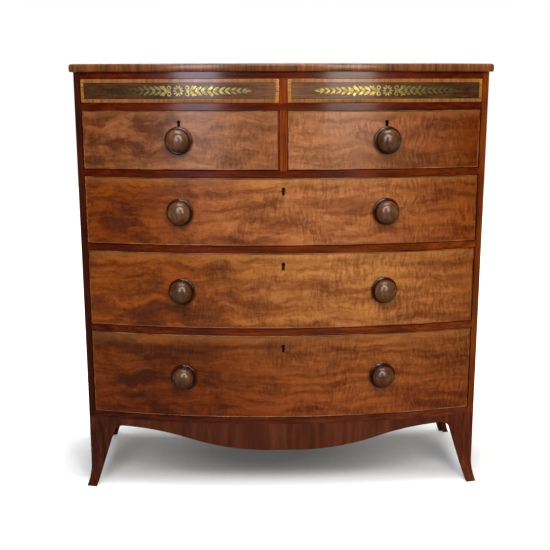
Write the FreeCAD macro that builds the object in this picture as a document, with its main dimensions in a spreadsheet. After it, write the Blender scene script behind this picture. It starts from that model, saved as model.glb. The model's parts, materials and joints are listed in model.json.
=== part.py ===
import FreeCAD, Part
import math
import os
import re
from collections import namedtuple

import Sketcher
from FreeCAD import Rotation, Vector

# Bow front chest of drawers, in millimetres.
# +Z is up, the front faces -Y and the origin lies on the floor, midway across the whole piece both ways.
# The front is part of one upright cylinder: drawers, rails, apron, front feet and top all follow it.

document = FreeCAD.newDocument("BowFrontChest")

# ---------------------------------------------------------------------------------------------
# Sizes: one row each, with its name, its value and what it is
# ---------------------------------------------------------------------------------------------
SIZES = [
    # the case
    ("case_width", 1000, "over the two sides"),
    ("case_depth", 352, "from the front corners to the back"),
    ("bow_rise", 69, "swell of the front between its corners"),
    ("side_thickness", 16, "of the side boards and side aprons"),
    ("back_thickness", 10, "of the backboards"),
    ("back_rebate", 8, "width of the step in each side that takes the backboards"),
    ("rail_height", 16, "of the rails between the drawers"),
    ("top_rail_height", 15, "of the rail under the top"),
    ("rail_depth", 46, "from the front corners to the rails' straight back edge"),
    ("housing_depth", 6, "how far a rail's end enters the side"),
    ("housing_setback", 14, "from the front corners back to the housing"),
    ("divider_width", 18, "of the uprights between the small drawers"),
    ("top_thickness", 19.5, "of the top board"),
    ("top_overhang", 9, "of the top past the front and sides"),
    ("top_edge_chamfer", 3.5, "easing of the top's front and side edges"),
    # the drawer openings, from the floor up
    ("bottom_opening", 216, "height of the bottom long drawer's opening"),
    ("middle_opening", 191.5, "height of the middle long drawer's opening"),
    ("upper_opening", 166.5, "height of the upper long drawer's opening"),
    ("short_opening", 142, "height of the short drawers' openings"),
    ("frieze_opening", 57, "height of the frieze drawers' openings"),
    # inside the case
    ("runner_width", 22, "of the runners along the sides"),
    ("centre_runner_width", 50, "of the runners behind the dividers"),
    ("guide_height", 16, "of the guides between neighbouring small drawers"),
    ("dustboard_thickness", 6, "of the boards between the drawers"),
    ("dustboard_drop", 6, "from a rail's top down to its dustboard"),
    ("groove_depth", 5, "of the grooves that hold the dustboards"),
    ("stop_length", 36, "of the blocks that stop the drawers"),
    ("stop_depth", 14, "of the stops, front to back"),
    ("stop_height", 5, "of the stops"),
    ("stop_spread", 200, "from the middle to the long drawers' stops"),
    ("stop_clearance", 0.3, "between a closed drawer and its stop"),
    # the base
    ("foot_height", 188.5, "from the floor to the underside of the case"),
    ("foot_wing", 90, "width of a foot where it meets the apron"),
    ("side_wing", 78, "depth of a foot where it meets the side apron"),
    ("toe_width", 26, "of a foot at the floor"),
    ("toe_splay", 12, "how far a foot kicks out at the floor"),
    ("splay_height", 60, "height at which a foot starts to kick out"),
    ("shoulder_radius", 28, "of the curve from a foot into the apron"),
    ("apron_thickness", 20, "of the bowed apron"),
    ("apron_peak", 170, "height of the apron's lower edge beside the feet"),
    ("apron_belly", 118, "height of the apron's lower edge in the middle"),
    ("apron_flat", 40, "half the flat stretch in the middle of the apron"),
    ("apron_turn", 240, "from the middle to where the apron's curve turns over"),
    ("side_apron_edge", 160, "height of the side aprons' lower edge"),
    ("block_size", 22, "of the glue blocks inside the base"),
    ("block_spacing", 230, "between the glue blocks behind the apron"),
    ("block_length", 60, "of the glue blocks behind the apron"),
    # the drawers
    ("front_gap", 1, "around each drawer front"),
    ("front_thickness", 22, "of the drawer fronts"),
    ("box_side", 10, "thickness of the drawer sides"),
    ("box_back", 9, "thickness of the drawer backs"),
    ("box_top_gap", 5, "from a drawer side up to the rail above"),
    ("box_back_gap", 6, "from a closed drawer to the backboards"),
    ("back_drop", 6, "from the top of a drawer's side down to its back"),
    ("bottom_thickness", 6, "of the drawer bottoms"),
    ("bottom_lift", 9, "from the runners up to a drawer's bottom"),
    ("bottom_groove", 4, "how far a drawer bottom enters front and sides"),
    ("tail_lap", 8, "wood left in front of the dovetails"),
    ("tail_share", 0.5, "of the pitch that a dovetail fills at its root"),
    ("tail_slope", 0.16, "spread of a dovetail's flanks, each way"),
    # the knobs
    ("knob_spread", 247, "from the middle of the case to a knob"),
    ("knob_reach", 42, "from the drawer front to a knob's crown"),
    ("knob_radius", 31, "of the rim"),
    ("rim_height", 9, "of the rim, front to back"),
    ("face_rise", 15, "from the rim out to the crown"),
    ("crown_radius", 14, "of the flat crown"),
    ("neck_radius", 15, "between the drawer front and the rim"),
    # the locks
    ("keyhole_drop", 33, "from the opening's top down to the keyhole"),
    ("keyhole_half", 3.2, "half the width of the keyhole's head"),
    ("keyhole_slot", 1.9, "half the width of the keyhole's slot"),
    ("keyhole_above", 4, "from the keyhole's middle up to its head's middle"),
    ("keyhole_below", 8, "from the keyhole's middle down to its foot"),
    ("lock_width", 50, "of the lock case"),
    ("lock_height", 50, "of the lock case"),
    ("lock_depth", 9, "of the lock case"),
    ("bolt_width", 20, "of the lock's bolt"),
    ("bolt_thickness", 4.5, "of the lock's bolt"),
    ("bolt_height", 15, "of the lock's bolt"),
    ("bolt_throw", 8, "how far the bolt rises"),
    ("bolt_sink", 0.5, "from the drawer's top edge down to the bolt"),
    ("bolt_clearance", 0.3, "around the bolt in the lock"),
    ("mortise_clearance", 1, "around and above the raised bolt in the rail"),
]

# Sizes that follow from the ones above
DERIVED = [
    ("inner_half", "case_width / 2 - side_thickness", "middle to the inside of a side"),
    ("bow_radius", "(case_width ^ 2 / 4 + bow_rise ^ 2) / (2 * bow_rise)", "of the bowed front"),
    (
        "front_reach",
        "(bow_radius + knob_reach) * sqrt(1 - (knob_spread / bow_radius) ^ 2)"
        " + crown_radius * knob_spread / bow_radius - (bow_radius - bow_rise)",
        "from the front corners to the foremost points of the knobs",
    ),
    ("corner_plane", "(front_reach - case_depth) / 2", "place of the front corners"),
    ("back_plane", "(front_reach + case_depth) / 2", "place of the back"),
    ("bow_centre", "corner_plane + bow_radius - bow_rise", "place of the bow's centre"),
    ("back_inner", "back_plane - back_thickness", "place of the backboards' inner face"),
    ("rail_back", "corner_plane + rail_depth", "place of the rails' back edge"),
    ("bottom_floor", "foot_height + rail_height", "height of the bottom drawer's opening"),
    ("middle_floor", "bottom_floor + bottom_opening + rail_height", "middle drawer's opening"),
    ("upper_floor", "middle_floor + middle_opening + rail_height", "upper long drawer's opening"),
    ("short_floor", "upper_floor + upper_opening + rail_height", "short drawers' openings"),
    ("frieze_floor", "short_floor + short_opening + rail_height", "frieze drawers' openings"),
    ("case_top", "frieze_floor + frieze_opening + top_rail_height", "underside of the top"),
    ("wing_end", "case_width / 2 - foot_wing", "middle to where a foot meets the apron"),
    (
        "apron_slope",
        "2 * atan((apron_peak - apron_belly) / (wing_end - apron_flat))",
        "steepest slope of the apron's lower edge",
    ),
    ("belly_radius", "(apron_turn - apron_flat) / sin(apron_slope)", "of the apron's hollow"),
    ("peak_radius", "(wing_end - apron_turn) / sin(apron_slope)", "of the apron's crown"),
    (
        "apron_turn_height",
        "apron_belly + (apron_peak - apron_belly) * (apron_turn - apron_flat) / (wing_end - apron_flat)",
        "height at which the apron's curve turns over",
    ),
]

sheet = document.addObject("Spreadsheet::Sheet", "sizes")
for row, (name, content, note) in enumerate(SIZES + DERIVED, 1):
    formula = isinstance(content, str)
    sheet.set(f"A{row}", name)
    sheet.set(f"B{row}", "=" + content if formula else str(content))
    sheet.set(f"C{row}", note)
    sheet.setAlias(f"B{row}", name)
document.recompute()

ALIASES = {name for name, content, note in SIZES + DERIVED}


def value(expression):
    """What an expression in the sheet's names comes to now."""
    result = sheet.evalExpression(str(expression))
    return float(getattr(result, "Value", result))


def bind(thing, path, expression):
    """Tie one property of an object to an expression in the sheet's names."""
    in_sheet = re.sub(
        r"[a-z_]+", lambda word: f"sizes.{word[0]}" if word[0] in ALIASES else word[0], str(expression)
    )
    thing.setExpression(path, in_sheet)


# ---------------------------------------------------------------------------------------------
# Ways of making a piece
# ---------------------------------------------------------------------------------------------
FLOOR_PLAN = "XY_Plane"
FRONT_VIEW = "XZ_Plane"
SIDE_VIEW = "YZ_Plane"


def new_body(label):
    body = document.addObject("PartDesign::Body", label)
    body.Label = label
    return body


def outline(body, plane, corners, offset="0"):
    """Sketch a closed outline on one of the body's own planes, with every corner tied to the sheet.

    A corner is (across, along). Where an arc leaves it, it is (across, along, radius, turn), and
    turn is 1 with the arc's centre to the left of the way to the next corner, or -1 to the right.
    """
    sketch = body.newObject("Sketcher::SketchObject", f"{body.Name}_outline")
    own_plane = next(feature for feature in body.Origin.OriginFeatures if feature.Role == plane)
    sketch.AttachmentSupport = [(own_plane, "")]
    sketch.MapMode = "FlatFace"
    bind(sketch, "AttachmentOffset.Base.z", offset)

    places = [Vector(value(corner[0]), value(corner[1]), 0) for corner in corners]
    edges = []
    first_point = []
    last_point = []
    for here, there, corner in zip(places, places[1:] + places[:1], corners):
        if len(corner) == 2:
            edges.append(Part.LineSegment(here, there))
            first_point.append(1)
            last_point.append(2)
            continue
        radius, turn = value(corner[2]), corner[3]
        half = (there - here) / 2
        to_centre = Vector(-half.y, half.x, 0).normalize() * turn
        centre = here + half + to_centre * math.sqrt(radius**2 - half.Length**2)
        start, end = (here, there) if turn > 0 else (there, here)
        start_angle = math.atan2(start.y - centre.y, start.x - centre.x)
        end_angle = math.atan2(end.y - centre.y, end.x - centre.x)
        if end_angle < start_angle:
            end_angle += 2 * math.pi
        circle = Part.Circle(centre, Vector(0, 0, 1), radius)
        edges.append(Part.ArcOfCircle(circle, start_angle, end_angle))
        first_point.append(1 if turn > 0 else 2)
        last_point.append(2 if turn > 0 else 1)
    sketch.addGeometry(edges, False)

    count = len(corners)
    joined = [
        Sketcher.Constraint("Coincident", i, last_point[i], (i + 1) % count, first_point[(i + 1) % count])
        for i in range(count)
    ]
    sketch.addConstraint(joined)
    for i, corner in enumerate(corners):
        ties = [("DistanceX", corner[0], places[i].x), ("DistanceY", corner[1], places[i].y)]
        for kind, expression, now in ties:
            tie = Sketcher.Constraint(kind, -1, 1, i, first_point[i], now)
            bind(sketch, f"Constraints[{sketch.addConstraint(tie)}]", expression)
        if len(corner) == 4:
            tie = Sketcher.Constraint("Radius", i, value(corner[2]))
            bind(sketch, f"Constraints[{sketch.addConstraint(tie)}]", corner[2])
    return sketch


def pad(body, sketch, length, reverse=False):
    feature = body.newObject("PartDesign::Pad", f"{body.Name}_pad")
    feature.Profile = sketch
    feature.Reversed = reverse
    bind(feature, "Length", length)
    return feature


def pocket(body, sketch, length=None, reverse=False):
    """Cut a sketch to a depth, or right through both ways where no depth is given."""
    document.recompute()
    before = body.Shape.Volume
    feature = body.newObject("PartDesign::Pocket", f"{body.Name}_pocket")
    feature.Profile = sketch
    feature.Reversed = reverse
    if length is None:
        feature.SideType = "Two sides"
        feature.Type = "ThroughAll"
        feature.Type2 = "ThroughAll"
    else:
        bind(feature, "Length", length)
    document.recompute()
    if body.Shape.Volume > before - 1:
        raise RuntimeError(f"a pocket in {body.Label} cuts nothing")
    return feature


def mirrored(corners):
    """The same outline on the other side of the middle."""
    result = []
    for corner in corners:
        arc = (corner[2], -corner[3]) if len(corner) == 4 else ()
        result.append((f"-({corner[0]})", corner[1]) + arc)
    return result


def on_side(corners, side):
    return corners if side > 0 else mirrored(corners)


def block(label, x_from, x_to, y_from, y_to, z_from, z_to):
    """A square-cut board or block between six planes."""
    box = document.addObject("Part::Box", label)
    box.Label = label
    spans = [("Length", "x", x_from, x_to), ("Width", "y", y_from, y_to), ("Height", "z", z_from, z_to)]
    for size, letter, low, high in spans:
        bind(box, size, f"({high}) - ({low})")
        bind(box, f"Placement.Base.{letter}", low)
    return box


def bow(across, inward="0"):
    """Where the front lies at a place across it, or a curve that far inside the front."""
    return f"(bow_centre - sqrt((bow_radius - ({inward})) ^ 2 - ({across}) ^ 2))"


def bowed_board(label, left, right, bottom, height, outer, inner):
    """A board bent to the bow, between two depths that are measured inward from the front."""
    body = new_body(label)
    corners = [
        (left, bow(left, outer), f"bow_radius - ({outer})", 1),
        (right, bow(right, outer)),
        (right, bow(right, inner), f"bow_radius - ({inner})", -1),
        (left, bow(left, inner)),
    ]
    pad(body, outline(body, FLOOR_PLAN, corners, bottom), height)
    return body


def group(label, pieces):
    compound = document.addObject("Part::Compound", label)
    compound.Label = label
    compound.Links = pieces
    return compound


def cut(label, base, tools):
    """A piece with the shapes of its neighbours taken out of it, so that they seat in it."""
    result = document.addObject("Part::Cut", label)
    result.Label = label
    result.Base = base
    result.Tool = tools[0] if len(tools) == 1 else group(f"{label}_tools", tools)
    return result


def seat(thing, across, height):
    """Stand a fitting, made with the drawer front at y = 0, square to the bow at a place across it."""
    axis = Vector(0, 0, 1 if value(across) >= 0 else -1)
    thing.Placement.Rotation = Rotation(axis, 1)
    bind(thing, "Placement.Base.x", across)
    bind(thing, "Placement.Base.y", bow(across))
    bind(thing, "Placement.Base.z", height)
    bind(thing, "Placement.Rotation.Angle", f"asin(abs({across}) / bow_radius)")
    return thing


nodes = {}


def keep(label, pieces):
    """Give the finished solids of one sub-part to the node of that name."""
    nodes[label] = pieces[0] if len(pieces) == 1 else group(label, pieces)
    nodes[label].Label = label


# ---------------------------------------------------------------------------------------------
# Locks: case, liner, bolt, and the mortise that the bolt rises into
# ---------------------------------------------------------------------------------------------
def rectangle(half_width, near, far):
    return [(f"-({half_width})", near), (half_width, near), (half_width, far), (f"-({half_width})", far)]


def keyhole(lift="0"):
    """Outline of a keyhole, moved up by lift: a slot with an eight-sided head."""
    foot = f"{lift} - keyhole_below"
    middle = f"{lift} + keyhole_above"
    flat = "keyhole_half * tan(22.5)"
    right_side = [
        ("keyhole_slot", foot),
        ("keyhole_slot", f"{middle} - keyhole_half - {flat} + keyhole_slot"),
        ("keyhole_half", f"{middle} - {flat}"),
        ("keyhole_half", f"{middle} + {flat}"),
        (flat, f"{middle} + keyhole_half"),
    ]
    return right_side + mirrored(right_side)[::-1]


def keyhole_tool(label):
    """The shape of the keyhole's hole through the drawer front, standing out a little at both ends."""
    body = new_body(label)
    sketch = outline(body, FRONT_VIEW, keyhole(), "front_gap")
    pad(body, sketch, "front_thickness + 2 * front_gap", reverse=True)
    return body


def lock_block(label, past="0"):
    """The lock's outside, or with past the recess that it needs, which runs past the inner face."""
    body = new_body(label)
    plan = rectangle("lock_width / 2", "front_thickness - lock_depth", f"front_thickness + {past}")
    pad(body, outline(body, FLOOR_PLAN, plan), "lock_height")
    return body


BOLT_MIDDLE = "(front_thickness - lock_depth / 2)"


def lock_case(label):
    """Lock case with its open-topped well for the bolt and its keyhole."""
    body = lock_block(label)
    half = "(bolt_thickness / 2 + bolt_clearance)"
    well = rectangle(
        "bolt_width / 2 + bolt_clearance", f"{BOLT_MIDDLE} - {half}", f"{BOLT_MIDDLE} + {half}"
    )
    pocket(body, outline(body, FLOOR_PLAN, well, "lock_height"), "bolt_height + bolt_sink")
    hole = keyhole("(lock_height - keyhole_drop + front_gap)")
    pocket(body, outline(body, FRONT_VIEW, hole, f"-({BOLT_MIDDLE})"), "lock_depth", reverse=True)
    return body


def bolt_block(label, clearance, height):
    body = new_body(label)
    half = f"(bolt_thickness / 2 + {clearance})"
    plan = rectangle(f"bolt_width / 2 + {clearance}", f"{BOLT_MIDDLE} - {half}", f"{BOLT_MIDDLE} + {half}")
    pad(body, outline(body, FLOOR_PLAN, plan), height)
    return body


# ---------------------------------------------------------------------------------------------
# Drawer bays
# ---------------------------------------------------------------------------------------------
Bay = namedtuple("Bay", "name floor opening left right knobs lock stops tails")

SMALL = [
    ("left", "-inner_half", "-divider_width / 2", "-knob_spread"),
    ("right", "divider_width / 2", "inner_half", "knob_spread"),
]
BOTH_KNOBS = ["-knob_spread", "knob_spread"]
BOTH_STOPS = ["-stop_spread", "stop_spread"]

frieze_bays = [
    Bay(f"frieze_{side}", "frieze_floor", "frieze_opening", left, right, [], None, [middle], 1)
    for side, left, right, middle in SMALL
]
short_bays = [
    Bay(f"short_{side}", "short_floor", "short_opening", left, right, [middle], middle, [middle], 2)
    for side, left, right, middle in SMALL
]
long_bays = [
    Bay(name, f"{level}_floor", f"{level}_opening", "-inner_half", "inner_half",
        BOTH_KNOBS, "0", BOTH_STOPS, tails)
    for name, level, tails in [
        ("long_top", "upper", 2), ("long_middle", "middle", 3), ("long_bottom", "bottom", 3)
    ]
]
all_bays = frieze_bays + short_bays + long_bays


def mortises(bays):
    """What the raised bolts of these bays need taken out of the rail above them."""
    tools = []
    for bay in bays:
        deep = "bolt_throw - front_gap - bolt_sink + mortise_clearance"
        tool = bolt_block(f"{bay.name}_mortise", "mortise_clearance", deep)
        tools.append(seat(tool, bay.lock, f"{bay.floor} + {bay.opening}"))
    return tools


# ---------------------------------------------------------------------------------------------
# Carcass: dustboards, rails, sides, dividers, runners, back and top
# ---------------------------------------------------------------------------------------------
board_edge = "inner_half - runner_width + groove_depth"
dustboards = []
for name, floor in [("lower", "middle_floor"), ("middle", "upper_floor"), ("upper", "short_floor")]:
    top = f"{floor} - dustboard_drop"
    dustboards.append(
        block(f"{name}_dustboard", f"-({board_edge})", board_edge,
              "rail_back - groove_depth", "back_inner", f"{top} - dustboard_thickness", top)
    )
keep("dustboards", dustboards)


def rail(label, bottom, height, tools):
    """A bowed rail with a straight back edge and stopped ends that enter the sides."""
    body = new_body(label if not tools else f"{label}_blank")
    end = "(inner_half + housing_depth)"
    setback = "corner_plane + housing_setback"
    corners = [
        ("-inner_half", bow("inner_half"), "bow_radius", 1),
        ("inner_half", bow("inner_half")),
        ("inner_half", setback),
        (end, setback),
        (end, "rail_back"),
        (f"-{end}", "rail_back"),
        (f"-{end}", setback),
        ("-inner_half", setback),
    ]
    pad(body, outline(body, FLOOR_PLAN, corners, bottom), height)
    finished = cut(label, body, tools) if tools else body
    keep(label, [finished])
    return finished


top_long, middle_long, bottom_long = long_bays
rails = [
    rail("base_rail", "foot_height", "rail_height", []),
    rail("lower_rail", "middle_floor - rail_height", "rail_height",
         [dustboards[0]] + mortises([bottom_long])),
    rail("middle_rail", "upper_floor - rail_height", "rail_height",
         [dustboards[1]] + mortises([middle_long])),
    rail("upper_rail", "short_floor - rail_height", "rail_height",
         [dustboards[2]] + mortises([top_long])),
    rail("frieze_rail", "frieze_floor - rail_height", "rail_height", mortises(short_bays)),
    rail("top_rail", "case_top - top_rail_height", "top_rail_height", []),
]

bottom_edge = "(inner_half + housing_depth)"
bottom_board = block("bottom_board", f"-{bottom_edge}", bottom_edge,
                     "rail_back", "back_inner", "foot_height", "bottom_floor")
keep("bottom_board", [bottom_board])

for side, name in [(-1, "side_left"), (1, "side_right")]:
    body = new_body(f"{name}_board")
    corners = [
        ("inner_half", bow("inner_half"), "bow_radius", 1),
        ("case_width / 2", "corner_plane"),
        ("case_width / 2", "back_plane"),
        ("inner_half + back_rebate", "back_plane"),
        ("inner_half + back_rebate", "back_inner"),
        ("inner_half", "back_inner"),
    ]
    sketch = outline(body, FLOOR_PLAN, on_side(corners, side), "foot_height")
    pad(body, sketch, "case_top - foot_height")
    keep(name, [cut(name, body, rails + [bottom_board])])

for name, bay in [("drawer_divider", short_bays[0]), ("frieze_divider", frieze_bays[0])]:
    body = new_body(name)
    half = "divider_width / 2"
    corners = [
        (f"-{half}", bow(half), "bow_radius", 1),
        (half, bow(half)),
        (half, "rail_back"),
        (f"-{half}", "rail_back"),
    ]
    pad(body, outline(body, FLOOR_PLAN, corners, bay.floor), bay.opening)
    keep(name, [body])

runners = []
levels = [
    ("lower", "middle_floor", "rail_height", [dustboards[0]]),
    ("middle", "upper_floor", "rail_height", [dustboards[1]]),
    ("upper", "short_floor", "rail_height", [dustboards[2]]),
    ("frieze", "frieze_floor", "rail_height", []),
    ("top", "case_top", "top_rail_height", []),
]
for name, top, height, boards in levels:
    for side, low, high in [
        ("left", "-inner_half", "-(inner_half - runner_width)"),
        ("right", "inner_half - runner_width", "inner_half"),
    ]:
        strip = block(f"{name}_runner_{side}", low, high,
                      "rail_back", "back_inner", f"{top} - {height}", top)
        runners.append(cut(f"{name}_runner_{side}_grooved", strip, boards) if boards else strip)
for name, top, height in [
    ("upper", "short_floor", "dustboard_drop"),
    ("frieze", "frieze_floor", "rail_height"),
    ("top", "case_top", "top_rail_height"),
]:
    runners.append(
        block(f"{name}_centre_runner", "-centre_runner_width / 2", "centre_runner_width / 2",
              "rail_back", "back_inner", f"{top} - {height}", top)
    )
keep("drawer_runners", runners)

guides = [
    block(f"{name}_guide", "-divider_width / 2", "divider_width / 2",
          "rail_back", "back_inner", floor, f"{floor} + guide_height")
    for name, floor in [("short", "short_floor"), ("frieze", "frieze_floor")]
]
keep("drawer_guides", guides)

stops = []
for bay in all_bays:
    for number, middle in enumerate(bay.stops, 1):
        front_face = "front_thickness + stop_clearance"
        stops.append(
            bowed_board(f"{bay.name}_stop_{number}", f"{middle} - stop_length / 2",
                        f"{middle} + stop_length / 2", bay.floor, "stop_height",
                        front_face, f"{front_face} + stop_depth")
        )
keep("drawer_stops", stops)

BACKBOARD_COUNT = 6
back_width = "2 * (inner_half + back_rebate)"
backboards = []
for number in range(BACKBOARD_COUNT):
    left = f"{back_width} * ({number} / {BACKBOARD_COUNT} - 0.5)"
    right = f"{back_width} * ({number + 1} / {BACKBOARD_COUNT} - 0.5)"
    backboards.append(
        block(f"backboard_{number + 1}", left, right, "back_inner", "back_plane", "foot_height", "case_top")
    )
keep("backboards", backboards)

top = new_body("top_board")
half_top = "(case_width / 2 + top_overhang)"
top_front = bow(half_top, "-top_overhang")
corners = [
    (f"-{half_top}", top_front, "bow_radius + top_overhang", 1),
    (half_top, top_front),
    (half_top, "back_plane"),
    (f"-{half_top}", "back_plane"),
]
top_pad = pad(top, outline(top, FLOOR_PLAN, corners, "case_top"), "top_thickness")
document.recompute()
eased = top.newObject("PartDesign::Chamfer", "top_edge_easing")
level_edges = []
for number, edge in enumerate(top_pad.Shape.Edges, 1):
    ends = [vertex.Point for vertex in edge.Vertexes]
    level = abs(ends[0].z - ends[1].z) < 1e-6
    at_back = all(abs(end.y - value("back_plane")) < 1e-6 for end in ends)
    if level and not at_back:
        level_edges.append(f"Edge{number}")
eased.Base = (top_pad, level_edges)
bind(eased, "Size", "top_edge_chamfer")
keep("top_board", [top])

# ---------------------------------------------------------------------------------------------
# Base: splay feet, shaped apron, side aprons and glue blocks
# ---------------------------------------------------------------------------------------------
# A foot is two wings that meet at the corner of the case. Its faces are straight above
# splay_height and sweep outward below it. Each wing is then cut to its outline: a slanting inner
# edge that runs through a round shoulder into the level of the apron.
SPLAY_SECTIONS = 2


def splay(step):
    """How far the foot has kicked out at each section, from the floor up."""
    return f"toe_splay * {(1 - step / SPLAY_SECTIONS) ** 2}"


def arch(body, plane, toe, end, edge_height):
    """Cut away what lies between a wing's slanting inner edge and the place where the wing ends."""
    way = 1 if value(end) > value(toe) else -1
    reach = f"({way} * ({end} - ({toe})))"
    rise = f"({edge_height} - shoulder_radius)"
    distance = f"sqrt({reach} ^ 2 + {rise} ^ 2)"
    slant = f"(atan({rise} / {reach}) + asin(shoulder_radius / {distance}))"
    slant_length = f"sqrt({reach} ^ 2 + {rise} ^ 2 - shoulder_radius ^ 2)"
    shoulder = (f"{toe} + {way} * {slant_length} * cos({slant})", f"{slant_length} * sin({slant})")
    below, past = "-1", f"{end} + {way}"
    corners = [
        (toe, below),
        (toe, "0"),
        shoulder + ("shoulder_radius", -way),
        (end, edge_height),
        (past, edge_height),
        (past, below),
    ]
    pocket(body, outline(body, plane, corners))


def foot(label, side, plan, toe_y, end_y):
    """Loft the swept part, stand the straight part on it, then cut both wings to their outlines."""
    body = new_body(label)
    sections = []
    for step in range(SPLAY_SECTIONS + 1):
        height = f"splay_height * {step} / {SPLAY_SECTIONS}"
        sections.append(outline(body, FLOOR_PLAN, on_side(plan(splay(step)), side), height))
    loft = body.newObject("PartDesign::AdditiveLoft", f"{label}_splay")
    loft.Profile = sections[0]
    loft.Sections = sections[1:]
    upper = outline(body, FLOOR_PLAN, on_side(plan("0"), side), "splay_height")
    pad(body, upper, "foot_height - splay_height")
    toe_x = "case_width / 2 + toe_splay - toe_width"
    signed = (lambda x: x) if side > 0 else (lambda x: f"-({x})")
    arch(body, FRONT_VIEW, signed(toe_x), signed("wing_end"), "apron_peak")
    arch(body, SIDE_VIEW, toe_y, end_y, "side_apron_edge")
    return body


def front_plan(kick):
    outer = f"(case_width / 2 + {kick})"
    inner = f"(inner_half + {kick})"
    return [
        ("wing_end", f"{bow('wing_end')} - {kick}", "bow_radius", 1),
        (outer, f"corner_plane - {kick}"),
        (outer, "corner_plane + side_wing"),
        (inner, "corner_plane + side_wing"),
        (inner, f"{bow('inner_half', 'apron_thickness')} - {kick}", "bow_radius - apron_thickness", -1),
        ("wing_end", f"{bow('wing_end', 'apron_thickness')} - {kick}"),
    ]


def back_plan(kick):
    outer = f"(case_width / 2 + {kick})"
    inner = f"(inner_half + {kick})"
    return [
        (outer, "back_plane - side_wing"),
        (outer, "back_plane"),
        ("wing_end", "back_plane"),
        ("wing_end", "back_plane - side_thickness"),
        (inner, "back_plane - side_thickness"),
        (inner, "back_plane - side_wing"),
    ]


feet = []
side_aprons = []
blocks = []
for side, name in [(-1, "left"), (1, "right")]:
    feet += [
        foot(f"foot_front_{name}", side, front_plan,
             "corner_plane - toe_splay + toe_width", "corner_plane + side_wing"),
        foot(f"foot_back_{name}", side, back_plan,
             "back_plane - toe_width", "back_plane - side_wing"),
    ]

    low, high = ("inner_half", "case_width / 2") if side > 0 else ("-case_width / 2", "-inner_half")
    side_aprons.append(
        block(f"side_apron_{name}", low, high, "corner_plane + side_wing", "back_plane - side_wing",
              "side_apron_edge", "foot_height")
    )

    corner_block = new_body(f"front_block_{name}")
    block_start = "inner_half - block_size"
    behind_wing = bow("inner_half", "apron_thickness")
    corners = [
        (block_start, bow(block_start, "apron_thickness"), "bow_radius - apron_thickness", 1),
        ("inner_half", behind_wing),
        ("inner_half", f"{behind_wing} + block_size"),
        (block_start, f"{behind_wing} + block_size"),
    ]
    base = "splay_height + block_size"
    sketch = outline(corner_block, FLOOR_PLAN, on_side(corners, side), base)
    pad(corner_block, sketch, f"foot_height - ({base})")
    low, high = (block_start, "inner_half") if side > 0 else ("-inner_half", f"-({block_start})")
    blocks += [
        corner_block,
        block(f"back_block_{name}", low, high, "back_plane - side_thickness - block_size",
              "back_plane - side_thickness", base, "foot_height"),
    ]
for number, middle in enumerate(["-block_spacing", "0", "block_spacing"], 1):
    blocks.append(
        bowed_board(f"apron_block_{number}", f"{middle} - block_length / 2", f"{middle} + block_length / 2",
                    "foot_height - block_size", "block_size",
                    "apron_thickness", "apron_thickness + block_size")
    )
keep("feet", feet)
keep("side_aprons", side_aprons)
keep("foot_blocks", blocks)

apron = bowed_board("apron", "-wing_end", "wing_end", "apron_belly", "foot_height - apron_belly",
                    "0", "apron_thickness")
below_apron = "apron_belly - 1"
corners = [
    ("-wing_end - 1", below_apron),
    ("wing_end + 1", below_apron),
    ("wing_end + 1", "apron_peak"),
    ("wing_end", "apron_peak", "peak_radius", 1),
    ("apron_turn", "apron_turn_height", "belly_radius", -1),
    ("apron_flat", "apron_belly"),
    ("-apron_flat", "apron_belly", "belly_radius", -1),
    ("-apron_turn", "apron_turn_height", "peak_radius", 1),
    ("-wing_end", "apron_peak"),
    ("-wing_end - 1", "apron_peak"),
]
pocket(apron, outline(apron, FRONT_VIEW, corners))
keep("apron", [apron])


# ---------------------------------------------------------------------------------------------
# Drawers
# ---------------------------------------------------------------------------------------------
def turned_knob(label):
    """A knob turned about -Y: neck, rim, and a face that slopes up to a flat crown."""
    body = new_body(label)
    rim_front = "(knob_reach - face_rise)"
    rim_back = f"({rim_front} - rim_height)"
    profile = [
        ("0", "0"),
        ("neck_radius", "0"),
        ("neck_radius", f"-{rim_back}"),
        ("knob_radius", f"-{rim_back}"),
        ("knob_radius", f"-{rim_front}"),
        ("crown_radius", "-knob_reach"),
        ("0", "-knob_reach"),
    ]
    sketch = outline(body, FLOOR_PLAN, profile)
    turning = body.newObject("PartDesign::Revolution", f"{label}_turning")
    turning.Profile = sketch
    turning.ReferenceAxis = (sketch, ["V_Axis"])
    turning.Angle = 360
    return body


def dovetails(low, high, count, root, tip):
    """Corners of a row of tails from low to high, each as wide at its tip as its slope makes it."""
    pitch = f"(({high}) - ({low})) / {count}"
    corners = []
    for number in range(count):
        middle = f"{low} + {pitch} * {number + 0.5}"
        root_half = f"{pitch} * tail_share / 2"
        tip_half = f"({root_half} + tail_slope * abs({tip} - ({root})))"
        corners += [
            (root, f"{middle} - {root_half}"),
            (tip, f"{middle} - {tip_half}"),
            (tip, f"{middle} + {tip_half}"),
            (root, f"{middle} + {root_half}"),
        ]
    return corners


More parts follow.
